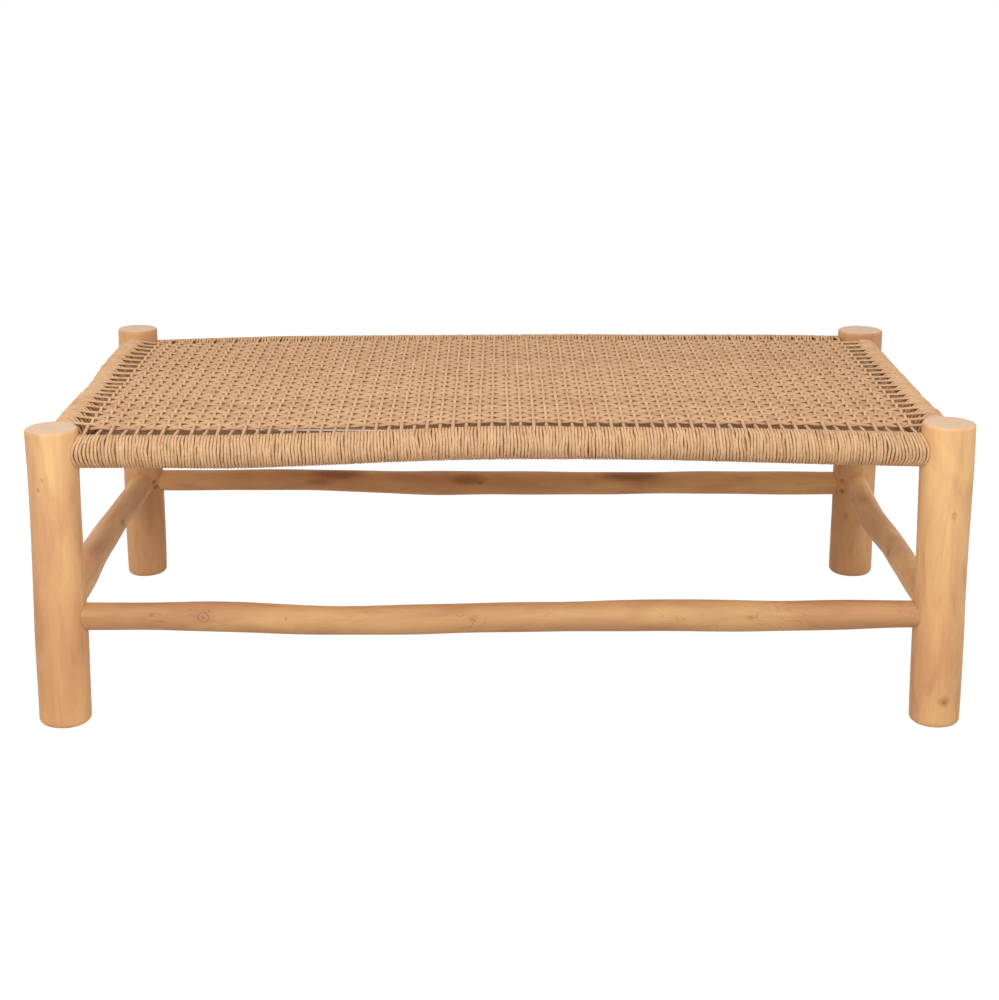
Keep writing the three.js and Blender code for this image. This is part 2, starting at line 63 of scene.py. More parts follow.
# Cord, its turns round the rails, and the weave
CORD = 0.0035
CORD_SIDES = 8
TURN_PITCH = 0.0041
WARPS = 64
ROWS = 40

FULL_TURN = 2 * math.pi
RIGHTWARD, BACKWARD, FORWARD = (1.0, 0.0, 0.0), (0.0, 1.0, 0.0), (0.0, -1.0, 0.0)
UPWARD, DOWNWARD = (0.0, 0.0, 1.0), (0.0, 0.0, -1.0)
WHITE = (1.0, 1.0, 1.0)

# Angle in degrees past which an edge of a log stays sharp
SHARP = 38.0


def ease(share: Array) -> Array:
    """Smooth step from 0 to 1: three times the square of the share less twice its cube."""
    t = np.clip(share, 0.0, 1.0)
    return t * t * (3.0 - 2.0 * t)


def blend(low: float | Array, high: float | Array, share: float | Array) -> Array:
    """Straight blend: low plus the share of the way to high."""
    return low + (high - low) * share


def window(degrees: Array, first: float, rise: float, last: float, fall: float) -> Array:
    """Eases up to 1 over the rise after a first angle, and down to 0 over the fall after a last one."""
    return ease((degrees - first) / rise) * (1.0 - ease((degrees - last) / fall))


def unit(vectors: Array) -> Array:
    """Each vector over its own length."""
    return vectors / np.linalg.norm(vectors, axis=-1, keepdims=True)


def corners_round(sides: int) -> Array:
    """Evenly spaced angles round a circle."""
    return FULL_TURN * np.arange(sides) / sides


def through(shares: Shares, u: Array) -> Array:
    """Value of a smooth curve through evenly spaced shares.

    Between shares b and c, with neighbours a and d, it is the cubic through both whose slope at
    each is half the difference of the shares on its two sides.

    Args:
        shares: the values, evenly spaced from u = 0 to u = 1.
        u: where to read the curve, clipped to 0 to 1.

    Returns:
        The curve's value at each u.
    """
    values = np.asarray(shares, float)
    last = len(values) - 1
    place = np.clip(u, 0.0, 1.0) * last
    i = np.minimum(place.astype(int), last - 1)
    t = place - i
    a, b, c, d = (values[np.clip(i + k, 0, last)] for k in (-1, 0, 1, 2))
    return b + t * (c - a + t * (2 * a - 5 * b + 4 * c - d + t * (3 * (b - c) + d - a))) / 2


@dataclass(frozen=True)
class Ripple:
    """A smooth seeded irregularity: a sum of sines along a line, whose waves are from long to short."""

    seed: int
    height: float
    longest: float
    shortest: float
    waves: int = 7

    def at(self, place: Array) -> Array:
        """Height at each place: waves of height times sin(2 pi place / length + phase), evened out.

        Args:
            place: distances along the line, in the unit of the wave lengths.

        Returns:
            The sum of the waves over the root of half their number.
        """
        rng = np.random.default_rng(self.seed)
        lengths = np.geomspace(self.longest, self.shortest, self.waves)
        phases = rng.uniform(0.0, FULL_TURN, self.waves)
        angles = FULL_TURN * np.asarray(place, float)[..., None] / lengths + phases
        return self.height * np.sin(angles).sum(-1) * math.sqrt(2.0 / self.waves)


def linked(name: str, data: bpy.types.ID) -> bpy.types.Object:
    """Puts data into the scene.

    Args:
        name: the object's name.
        data: its mesh, lamp or camera.

    Returns:
        The new object, at the origin.
    """
    made = bpy.data.objects.new(name, data)
    bpy.context.scene.collection.objects.link(made)
    return made


@dataclass
class Skin:
    """The closed surface of one mesh: its places, its faces, and what its finish reads."""

    places: Array
    faces: list[Array]
    corner_uv: list[Array] = field(default_factory=list)
    numbers: dict[str, Array] = field(default_factory=dict)
    vectors: dict[str, Array] = field(default_factory=dict)

    def volume(self) -> float:
        """Signed volume: a sixth of the sum, over fan triangles, of a corner dot the other two's cross.

        Returns:
            The volume, below zero if the faces look inward.
        """
        total = 0.0
        for faces in self.faces:
            first = self.places[faces[:, 0]]
            for k in range(1, faces.shape[1] - 1):
                second, third = self.places[faces[:, k]], self.places[faces[:, k + 1]]
                total += float(np.einsum("ij,ij->", first, np.cross(second, third))) / 6.0
        return total

    def make(self, name: str, sharp: float | None = None) -> bpy.types.Object:
        """Puts the surface into a new mesh object, faces outward and smooth.

        Args:
            name: the piece's name.
            sharp: angle in degrees past which an edge stays sharp, or None for none.

        Returns:
            The new object, at the origin.
        """
        way = -1 if self.volume() < 0 else 1
        groups = [faces[:, ::way] for faces in self.faces]
        widths = np.concatenate([np.full(len(faces), faces.shape[1]) for faces in groups])
        starts = np.concatenate([[0], np.cumsum(widths)[:-1]])
        corners = np.concatenate([faces.ravel() for faces in groups])
        mesh = bpy.data.meshes.new(name)
        mesh.vertices.add(len(self.places))
        mesh.vertices.foreach_set("co", self.places.astype(np.float32).ravel())
        mesh.loops.add(len(corners))
        mesh.loops.foreach_set("vertex_index", corners.astype(np.int32))
        mesh.polygons.add(len(widths))
        mesh.polygons.foreach_set("loop_start", starts.astype(np.int32))
        mesh.polygons.foreach_set("use_smooth", np.ones(len(widths), bool))
        mesh.update(calc_edges=True)
        if self.corner_uv:
            flat = np.concatenate([uv[:, ::way].reshape(-1, 2) for uv in self.corner_uv])
            layer = mesh.uv_layers.new(name=CordFinish.LAY)
            layer.uv.foreach_set("vector", flat.astype(np.float32).ravel())
        carried = ("FLOAT", "value", self.numbers), ("FLOAT_VECTOR", "vector", self.vectors)
        for kind, key, labelled in carried:
            for label, values in labelled.items():
                made = mesh.attributes.new(label, kind, "POINT")
                made.data.foreach_set(key, values.astype(np.float32).ravel())
        if sharp is not None:
            mesh.set_sharp_from_angle(angle=math.radians(sharp))
        return linked(name, mesh)


def band(rings: Array, sides: int) -> Array:
    """Quads from rings to the rings after them, corner to corner.

    Args:
        rings: the rings' numbers.
        sides: corners of a ring.

    Returns:
        Four place numbers for each quad.
    """
    corner = np.arange(sides)
    following = (corner + 1) % sides
    near = rings[..., None] * sides
    far = near + sides
    quads = [near + corner, far + corner, far + following, near + following]
    return np.stack(quads, -1).reshape(-1, 4)


def shell(rings: Array, grain: Array | None = None) -> Skin:
    """Closed skin over a stack of rings, with a fan of triangles round a pole at each end.

    Args:
        rings: places by ring, corner and axis.
        grain: the same places in the log's own straight frame, for its finish.

    Returns:
        The skin, with the grain as a vector of each place.
    """
    count, sides = rings.shape[:2]
    around, ahead = np.arange(sides), (np.arange(sides) + 1) % sides
    top = (count - 1) * sides
    foot_fan = np.stack([np.full(sides, count * sides), around, ahead], -1)
    top_fan = np.stack([np.full(sides, count * sides + 1), top + ahead, top + around], -1)

    def with_poles(stack: Array) -> Array:
        """The rings' places with the middle of the first and of the last ring added."""
        return np.concatenate([stack.reshape(-1, 3), stack[:1].mean(1), stack[-1:].mean(1)])

    vectors = {} if grain is None else {TeakFinish.GRAIN: with_poles(grain)}
    faces = [band(np.arange(count - 1), sides), np.concatenate([foot_fan, top_fan])]
    return Skin(with_poles(rings), faces, vectors=vectors)


@dataclass
class Course:
    """Middle lines of some cords, by cord, step and axis, and the direction out of the work there."""

    path: Array
    out: Array

    @classmethod
    def facing(cls, path: Array, way: Place = UPWARD) -> "Course":
        """A course whose way out is the same all along: up, in the flat of the weave."""
        return cls(path, np.broadcast_to(way, path.shape))

    def then(self, *others: "Course") -> "Course":
        """This course with others joined to its end."""
        every = (self, *others)
        return Course(np.concatenate([c.path for c in every], 1), np.concatenate([c.out for c in every], 1))

    def back(self) -> "Course":
        """The same course run the other way."""
        return Course(self.path[:, ::-1], self.out[:, ::-1])


def sweep(
    course: Course,
    lateral: Place,
    strand: Array,
    half_wide: float = CORD / 2,
    half_high: float = CORD / 2,
    sides: int = CORD_SIDES,
) -> Skin:
    """Round cords along many paths at once, each one closed tube.

    The section is an oval: the path's place, plus half_wide times the angle's cosine sideways, plus
    half_high times its sine in the direction square to that and to the path. Sideways is the
    lateral direction less its part along the path.

    Args:
        course: the cords' middle lines.
        lateral: a direction that no path runs along.
        strand: a number from 0 to 1 for each cord, or each cord and step, to tell cords apart.
        half_wide: half the section's width.
        half_high: half its height.
        sides: its corners.

    Returns:
        The tubes as one skin, with the lay map, and for each corner the strand number and how far
        round from the way out it lies: 0 there, 1 on the far side. The cord's finish darkens the
        far side as painted shade.
    """
    paths = course.path
    cords, steps = paths.shape[:2]
    ahead = unit(np.gradient(paths, axis=1))
    side = np.broadcast_to(np.asarray(lateral, float), paths.shape)
    side = unit(side - (side * ahead).sum(-1, keepdims=True) * ahead)
    square = np.cross(side, ahead)
    angle = corners_round(sides)[:, None]
    sideways, upright = np.cos(angle) * side[:, :, None, :], np.sin(angle) * square[:, :, None, :]
    places = paths[:, :, None, :] + half_wide * sideways + half_high * upright
    # How far round from the way out each corner lies; the cord's finish darkens the far side as painted shade
    sunk = (1.0 - ((sideways + upright) * course.out[:, :, None, :]).sum(-1)) / 2.0
    run = np.cumsum(np.linalg.norm(np.diff(paths, axis=1), axis=-1), axis=1)
    run = np.concatenate([np.zeros((cords, 1)), run], axis=1)

    around = np.arange(sides)
    near, far, here, beyond = run[:, :-1, None], run[:, 1:, None], around / sides, (around + 1) / sides
    pairs = (here, near), (here, far), (beyond, far), (beyond, near)
    quad_uv = np.stack([np.stack(np.broadcast_arrays(*pair), -1) for pair in pairs], -2)
    ring = np.arange(cords)[:, None] * steps
    caps = np.concatenate([ring * sides + around, (ring + steps - 1) * sides + around[::-1]])
    cap_run = np.repeat(np.concatenate([run[:, 0], run[:, -1]])[:, None], sides, 1)
    cap_uv = np.stack([np.broadcast_to(here, cap_run.shape), cap_run], -1)
    strand = np.broadcast_to(strand[..., None], (cords, steps, sides))
    return Skin(
        places.reshape(-1, 3),
        [band(ring + np.arange(steps - 1), sides), caps],
        [quad_uv.reshape(-1, 4, 2), cap_uv],
        {CordFinish.STRAND: strand.ravel(), CordFinish.SUNK: sunk.ravel()},
    )


def arithmetic(operation: str, flipped: bool = False) -> Callable[..., "Value"]:
    """Makes a method that adds a Math node over a value and its other terms.

    Args:
        operation: the node's operation.
        flipped: whether the other terms come first.

    Returns:
        The method.
    """

    def method(value: "Value", *others: "Value | float") -> "Value":
        """Adds the node."""
        return value.graph.math(operation, *((*others, value) if flipped else (value, *others)))

    return method


class Value:
    """A shader socket that takes part in sums: arithmetic on it adds Math nodes."""

    def __init__(self, graph: "Graph", socket: bpy.types.NodeSocket) -> None:
        """Wraps a socket of a graph."""
        self.graph = graph
        self.socket = socket

    __add__, __radd__ = arithmetic("ADD"), arithmetic("ADD", True)
    __sub__, __rsub__ = arithmetic("SUBTRACT"), arithmetic("SUBTRACT", True)
    __mul__, __rmul__ = arithmetic("MULTIPLY"), arithmetic("MULTIPLY", True)
    __truediv__, most = arithmetic("DIVIDE"), arithmetic("MAXIMUM")
    sine, size = arithmetic("SINE"), arithmetic("ABSOLUTE")

    def rise(self, low: float, high: float) -> "Value":
        """Smooth step from 0 at low to 1 at high."""
        inputs = {"Value": self, "From Min": low, "From Max": high}
        return self.graph.value("ShaderNodeMapRange", {"interpolation_type": "SMOOTHSTEP"}, inputs)

    def fall(self, low: float, high: float) -> "Value":
        """Smooth step from 1 at low to 0 at high."""
        return 1.0 - self.rise(low, high)

    def vector(self, operation: str, *others: "Value | Colour") -> "Value":
        """Adds a Vector Math node over this and others."""
        inputs = dict(enumerate((self, *others)))
        return self.graph.value("ShaderNodeVectorMath", {"operation": operation}, inputs)

    def length(self) -> "Value":
        """Length of a vector."""
        return self.graph.value("ShaderNodeVectorMath", {"operation": "LENGTH"}, {0: self}, "Value")

    def parts(self) -> tuple["Value", ...]:
        """The three numbers of a vector."""
        made = self.graph.node("ShaderNodeSeparateXYZ", None, {0: self})
        return tuple(Value(self.graph, socket) for socket in made.outputs)

    def ramp(self, *stops: tuple[float, Colour]) -> "Value":
        """Colour of a share along a ramp of stops."""
        return self.graph.value("ShaderNodeValToRGB", {"stops": stops}, {0: self})

    def between(self, low: "Value | Colour", high: "Value | Colour") -> "Value":
        """Blend of two colours, by this share of the second."""
        return self.graph.mix(self, low, high)

    def times(self, tone: "Value | Colour") -> "Value":
        """This colour multiplied by another."""
        return self.graph.mix(1.0, self, tone, "MULTIPLY")

    def under(self, *layers: tuple["Value", float, Colour]) -> "Value":
        """Lays colours over this one.

        Args:
            layers: for each, the mask where it shows, its share there, and the colour.

        Returns:
            The colour with all layers, each mixed in by its mask times its share.
        """
        colour = self
        for mask, share, tint in layers:
            colour = (mask * share).between(colour, tint)
        return colour

    def bump(self, depth: float, strength: float) -> "Value":
        """Normal of a surface whose height is this number of depths, in metres."""
        inputs = {"Height": self, "Distance": depth, "Strength": strength}
        return self.graph.value("ShaderNodeBump", None, inputs)


class Graph:
    """The node tree of one material or world, and the few ways in which it grows."""

    # Numbers of the Mix node's factor, its two colours and its coloured output
    FACTOR, LOW, HIGH, BLENDED = 0, 6, 7, 2

    def __init__(self, owner: bpy.types.Material | bpy.types.World) -> None:
        """Clears the owner's node tree.

        Args:
            owner: the material or world.
        """
        owner.use_nodes = True
        self.tree = owner.node_tree
        self.tree.nodes.clear()

    def node(self, kind: str, settings: dict | None = None, inputs: dict | None = None) -> bpy.types.Node:
        """Adds any node.

        Args:
            kind: the node's type.
            settings: properties set first. The key stops holds a ramp's places and colours.
            inputs: values or links by socket name or number.

        Returns:
            The new node.
        """
        made = self.tree.nodes.new(kind)
        for key, setting in (settings or {}).items():
            if key != "stops":
                setattr(made, key, setting)
                continue
            elements = made.color_ramp.elements
            while len(elements) < len(setting):
                elements.new(0.5)
            for element, (place, colour) in zip(elements, setting):
                element.position = place
                element.color = (*colour, 1.0)
        for key, given in (inputs or {}).items():
            if isinstance(given, Value):
                self.tree.links.new(given.socket, made.inputs[key])
            elif isinstance(given, tuple) and made.inputs[key].type == "RGBA":
                made.inputs[key].default_value = (*given, 1.0)
            else:
                made.inputs[key].default_value = given
        return made

    def value(
        self, kind: str, settings: dict | None = None, inputs: dict | None = None, output: str | int = 0
    ) -> Value:
        """Adds a node and wraps one of its outputs, by name or number."""
        return Value(self, self.node(kind, settings, inputs).outputs[output])

    def math(self, operation: str, *terms: Value | float) -> Value:
        """Adds a Math node over its terms."""
        return self.value("ShaderNodeMath", {"operation": operation}, dict(enumerate(terms)))

    def attribute(self, name: str, output: str = "Fac") -> Value:
        """A number that the mesh carries, or with the output Vector, a vector."""
        return self.value("ShaderNodeAttribute", {"attribute_name": name}, output=output)

    def place(self) -> Value:
        """The place on the piece."""
        return self.value("ShaderNodeTexCoord", output="Object")

    def mix(self, share: Value | float, low: Value | Colour, high: Value | Colour, way: str = "MIX") -> Value:
        """Blends a low and a high colour, by the share of the high one and the type of blend."""
        inputs = {self.FACTOR: share, self.LOW: low, self.HIGH: high}
        return self.value("ShaderNodeMix", {"data_type": "RGBA", "blend_type": way}, inputs, self.BLENDED)


@dataclass(frozen=True)
class Noise:
    """Soft noise, about 0 to 1: its scale, detail and warp, and how its place is scaled along a log."""

    scale: float
    detail: float = 2.0
    warp: float = 0.0
    drawn: float = 1.0

    def at(self, place: Value) -> Value:
        """The noise at a place, whose z is first multiplied by drawn.

        Args:
            place: the place.

        Returns:
            The noise.
        """
        scaled = place.vector("MULTIPLY", (1.0, 1.0, self.drawn))
        inputs = {"Vector": scaled, "Scale": self.scale, "Detail": self.detail, "Distortion": self.warp}
        return place.graph.value("ShaderNodeTexNoise", None, inputs)


def lit(red: int, green: int, blue: int) -> Colour:
    """A screen colour, 0 to 255, as linear light: below 0.04 over 12.92, else a power of 2.4."""
    shares = (np.array([red, green, blue]) / 255.0).tolist()
    return tuple(s / 12.92 if s <= 0.04045 else ((s + 0.055) / 1.055) ** 2.4 for s in shares)


class Finish:
    """A material: its name, and a paint method that gives its surface's inputs."""

    name: str

    def build(self) -> bpy.types.Material:
        """Makes the material, a Principled surface with the painted inputs.

        Returns:
            The material.
        """
        material = bpy.data.materials.new(self.name)
        graph = Graph(material)
        surface = graph.value("ShaderNodeBsdfPrincipled", None, self.paint(graph))
        graph.node("ShaderNodeOutputMaterial", None, {"Surface": surface})
        return material


@dataclass(frozen=True)
class Knot:
    """A knot on a log: angle round it in degrees, distance along it, radius, and depth of colour.

    A knot whose ring is 0 is only a smoky patch.
    """

    angle: float
    along: float
    radius: float
    depth: float = 0.7
    stretch: float = 1.5
    ring: float = 1.0


@dataclass(frozen=True)
class TeakFinish(Finish):
    """Peeled and sanded teak: golden to rosy wood with fine grain, darker streaks and knots.

    A log with a centre stands upright on it and shows its sawn ends. Its tone is then its top's,
    blended by height to its foot tone. On the rear legs, the front stretcher and the seat rails
    the tone is painted shade.
    """

    name: str
    seed: int
    radius: float
    knots: tuple[Knot, ...] = ()
    centre: tuple[float, float] | None = None
    tone: Colour = WHITE
    foot_tone: Colour = WHITE
    crackled: float = 0.0

    GRAIN = "grain"
    GOLD = lit(244, 198, 138)
    SAND = lit(234, 184, 130)
    ROSE = lit(214, 158, 114)
    TAN = lit(206, 150, 98)
    STREAK = lit(160, 106, 66)
    BARK = lit(112, 68, 42)
    CREAM = lit(228, 192, 162)
    CREAM_RING = lit(214, 172, 138)
    SEED_STEP = (0.31, 0.17, 0.53)
    FIBRE = Noise(620.0, 3.0, drawn=0.055)
    BAND = Noise(120.0, 3.0, 0.6, 0.055)
    CLOUD = Noise(30.0, 3.0, 0.8, 0.3)
    PATCH = Noise(13.0, 1.0, 0.3, 0.3)
    SWELL = Noise(26.0, 1.0, 0.4, 0.16)
    SMEAR = Noise(44.0, 2.0, 1.2, 0.2)
    SQUIGGLE = Noise(46.0, 2.0, 1.6, 0.42)
    BARKED = Noise(24.0, 1.0, drawn=0.6)
    KNOT_WOBBLE = Noise(160.0)
    RING_WOBBLE = Noise(60.0)
    SPOKE = Noise(9.0, 3.0)
    SWELL_DEPTH = 0.016
    WOBBLE_DEPTH = 0.006
    FIGURE_WIDTH = 0.0017
    RING_WIDTH = 0.0031
    LEG_HEIGHT = 0.4
    KNOT_RAGGED = 0.7
    HALO_SHARE = 0.45
    RING_SHARE = 0.45
    ROUGH, GRAIN_ROUGH = 0.5, 0.16
    GRAIN_DEPTH, GRAIN_STRENGTH = 0.00035, 0.5
    SHEEN = 0.35

    def figure(self, place: Value) -> tuple[Value, Value]:
        """Colour of the clean wood and the height of its grain.

        The arches of the grain are the sine of the distance from the pith plus a long swell.

        Args:
            place: the place in the log's own frame.

        Returns:
            The colour, and a number from 0 to 1 for the grain's height.
        """
        shifted = place.vector("ADD", tuple(step * self.seed for step in self.SEED_STEP))
        noises = (self.FIBRE, self.BAND, self.CLOUD, self.PATCH, self.SWELL, self.SMEAR)
        fibre, band, cloud, patch, swell, smear = (noise.at(shifted) for noise in noises)
        pith = place.vector("MULTIPLY", (1.0, 1.0, 0.0)).length() + swell * self.SWELL_DEPTH
        arches = (pith * (FULL_TURN / self.FIGURE_WIDTH)).sine()
        colour = cloud.ramp((0.32, self.GOLD), (0.50, self.SAND), (0.70, self.ROSE)).under(
            (patch.rise(0.42, 0.68), 0.55, self.ROSE),
            (patch.fall(0.32, 0.52), 0.5, self.GOLD),
            (band.rise(0.48, 0.72), 0.22, self.TAN),
            (fibre.rise(0.45, 0.75), 0.16, self.TAN),
            (arches.rise(0.1, 1.0) * cloud.rise(0.35, 0.6), 0.14, self.TAN),
            (smear.rise(0.62, 0.78), 0.2, self.STREAK),
            (self.cracks(shifted), self.crackled, self.STREAK),
        )
        return colour, fibre * 0.5 + band * 0.5

    def cracks(self, place: Value) -> Value:
        """Fine squiggly marks under the old bark: 1 where a warped noise crosses its middle, in patches."""
        line = (self.SQUIGGLE.at(place) - 0.5).size().fall(0.004, 0.014)
        return line * self.BARKED.at(place).rise(0.55, 0.66)

    def knotted(self, place: Value, colour: Value) -> Value:
        """The wood's colour with its knots: a dark eye, a paler ring, a dark rim and a soft halo.

        Args:
            place: the place in the log's own frame.
            colour: the clean wood's colour.

        Returns:
            The colour with all knots mixed in.
        """
        wobble = (self.KNOT_WOBBLE.at(place) - 0.5) * self.KNOT_RAGGED
        for knot in self.knots:
            angle = math.radians(knot.angle)
            middle = (self.radius * math.cos(angle), self.radius * math.sin(angle), knot.along)
            scale = (1 / knot.radius, 1 / knot.radius, 1 / (knot.radius * knot.stretch))
            out = place.vector("SUBTRACT", middle).vector("MULTIPLY", scale).length() + wobble
            dark = (out.rise(0.62, 0.86) * out.fall(0.9, 1.15)).most(out.fall(0.18, 0.55))
            colour = colour.under(
                (out.fall(0.8, 2.6), self.HALO_SHARE * knot.depth, self.STREAK),
                (dark, knot.depth * knot.ring, self.BARK),
            )
        return colour

    def sawn(self, place: Value) -> tuple[Value, Value]:
        """Colour of a sawn end and where it shows.

        Growth rings are the sine of the distance from the pith, which wobbles, over a ring's width.

        Args:
            place: the place in the log's own frame.

        Returns:
            The end's colour, and a mask that is 1 where the surface is square to the log.
        """
        flat = place.vector("MULTIPLY", (1.0, 1.0, 0.0))
        out = flat.length() + (self.RING_WOBBLE.at(flat) - 0.5) * self.WOBBLE_DEPTH
        ring = (out * (FULL_TURN / self.RING_WIDTH)).sine().rise(0.0, 1.0)
        colour = (ring * self.RING_SHARE).between(self.CREAM, self.CREAM_RING).under(
            (self.SPOKE.at(flat.vector("NORMALIZE")).rise(0.60, 0.72), 0.3, self.TAN),
            (out.fall(0.0006, 0.0024), 0.35, self.STREAK),
        )
        _, _, upward = place.graph.value("ShaderNodeNewGeometry", output="Normal").parts()
        return colour, upward.size().rise(0.72, 0.97)

    def paint(self, graph: Graph) -> dict[str, Value | float]:
        """The surface's inputs: figure, knots and tone, and for an upright log its sawn ends.

        Args:
            graph: the material's node tree.

        Returns:
            The inputs by name.
        """
        if self.centre is None:
            place = graph.attribute(self.GRAIN, "Vector")
        else:
            place = graph.place().vector("SUBTRACT", (*self.centre, 0.0))
        colour, grain = self.figure(place)
        colour = self.knotted(place, colour)
        if self.centre is None:
            # The tone darkens some branches as painted shade
            colour = colour.times(self.tone)
        else:
            # Blend from the foot tone to the top tone by height; the rear legs' darker tops are painted shade
            up = (place.parts()[2] / self.LEG_HEIGHT).rise(0.1, 0.9)
            end, mask = self.sawn(place)
            colour = mask.between(colour.times(up.between(self.foot_tone, self.tone)), end)
        return {
            "Base Color": colour,
            "Roughness": self.ROUGH + grain * self.GRAIN_ROUGH,
            "Normal": grain.bump(self.GRAIN_DEPTH, self.GRAIN_STRENGTH),
            "Specular IOR Level": self.SHEEN,
        }


@dataclass(frozen=True)
class PegFinish(Finish):
    """Darker hardwood of the pegs, its grain drawn out upward."""

    name: str = "peg_hardwood"
    LIGHT = lit(206, 150, 98)
    DARK = lit(170, 116, 72)
    GRAIN = Noise(900.0, 3.0, drawn=0.3)
    CLOUD = Noise(120.0)
    ROUGH, GRAIN_ROUGH = 0.5, 0.2
    GRAIN_DEPTH, GRAIN_STRENGTH = 0.0002, 0.5

    def paint(self, graph: Graph) -> dict[str, Value | float]:
        """The surface's inputs.

        Args:
            graph: the material's node tree.

        Returns:
            The inputs by name.
        """
        place = graph.place()
        grain = self.GRAIN.at(place)
        colour = self.CLOUD.at(place).ramp((0.35, self.LIGHT), (0.65, self.DARK))
        return {
            "Base Color": colour.under((grain.rise(0.5, 0.75), 0.5, self.DARK)),
            "Roughness": self.ROUGH + grain * self.GRAIN_ROUGH,
            "Normal": grain.bump(self.GRAIN_DEPTH, self.GRAIN_STRENGTH),
        }


@dataclass(frozen=True)
class CordFinish(Finish):
    """Twisted cord: plies that wind round it, fine fibres, and a tone that drifts, with painted shade in the
    plies' grooves and on the side turned from the way out.
    """

    name: str
    pale: Colour
    tan: Colour
    dark: Colour
    # Share of painted shade on the side of the cord turned from the way out
    painted_shade_share: float = 0.52

    LAY = "lay"
    STRAND = "strand"
    SUNK = "sunk"
    # Colour of the painted shade in the plies' grooves and on the cord's far side
    PAINTED_SHADE_COLOUR = lit(134, 92, 56)
    PLIES = 3.0
    TWIST = 0.0125
    DRIFT = Noise(1.0)
    DRIFT_SHARE = 0.5
    DRIFTS_PER_METRE = 42.0
    STRAND_STEP = 91.0
    # Where the plies' grooves get painted shade
    GROOVE_SHADE_PATCHES = Noise(260.0)
    FIBRE = Noise(1500.0)
    PATCH = Noise(55.0)
    PLY_SHARE, FIBRE_SHARE = 0.6, 0.6
    DEPTH, STRENGTH = 0.00035, 0.6
    ROUGH, FIBRE_ROUGH = 0.72, 0.15
    SHEEN = 0.25

    def paint(self, graph: Graph) -> dict[str, Value | float]:
        """The surface's inputs.

        The plies' groove is where the sine of PLIES times the angle round the cord, plus one turn
        for each TWIST of length, is lowest. In random patches the groove is darkened as painted
        shade, and the side of the cord turned from the way out is darkened as painted shade too.

        Args:
            graph: the material's node tree.

        Returns:
            The inputs by name.
        """
        around, run, _ = graph.value("ShaderNodeUVMap", {"uv_map": self.LAY}, output="UV").parts()
        strand, sunk, place = graph.attribute(self.STRAND), graph.attribute(self.SUNK), graph.place()
        ply = ((around * self.PLIES + run * (1.0 / self.TWIST)) * FULL_TURN).sine()
        groove_shade_patches, fibre, patch = (noise.at(place) for noise in (self.GROOVE_SHADE_PATCHES, self.FIBRE, self.PATCH))
        line = {0: run * self.DRIFTS_PER_METRE, 1: strand * self.STRAND_STEP, 2: 0.5}
        drift = self.DRIFT.at(graph.value("ShaderNodeCombineXYZ", None, line))
        drift = drift.ramp((0.28, self.pale), (0.52, self.tan), (0.78, self.dark))
        colour = graph.mix(self.DRIFT_SHARE, self.tan, drift).under(
            (strand.rise(0.0, 0.5), 0.35, self.pale),
            (strand.rise(0.72, 1.0), 0.35, self.dark),
            (patch.rise(0.5, 0.75), 0.25, self.dark),
            (fibre.rise(0.5, 0.8), 0.2, self.dark),
            # Painted shade in the plies' grooves, in random patches
            (ply.fall(-1.0, -0.55) * groove_shade_patches.rise(0.42, 0.62), 0.4, self.PAINTED_SHADE_COLOUR),
            # Painted shade: the side of the cord turned from the way out is darkened
            (sunk.rise(0.22, 0.66), self.painted_shade_share, self.PAINTED_SHADE_COLOUR),
        )
        return {
            "Base Color": colour,
            "Roughness": self.ROUGH + fibre * self.FIBRE_ROUGH,
            "Normal": (ply * self.PLY_SHARE + fibre * self.FIBRE_SHARE).bump(self.DEPTH, self.STRENGTH),
            "Specular IOR Level": self.SHEEN,
        }


class Log:
    """What legs and branches share: a girth along the log, and low lumps on it.

    A lump is its whole waves round the log, its turn in radians for a metre along, and its height.
    """

    lumps: Lumps

    def lumpy(self, angle: Array, along: Array) -> Array:
        """Distance from the log's middle to its skin: the girth plus the sine of each lump.

        Args:
            angle: angles round the log.
            along: places along it.

        Returns:
            The distance at each angle and place.
        """
        phases = np.random.default_rng(self.seed).uniform(0, FULL_TURN, len(self.lumps))
        out = self.girth(along)
        for (waves, turn, height), phase in zip(self.lumps, phases):
            out = out + height * np.sin(waves * angle + turn * along + phase)
        return out


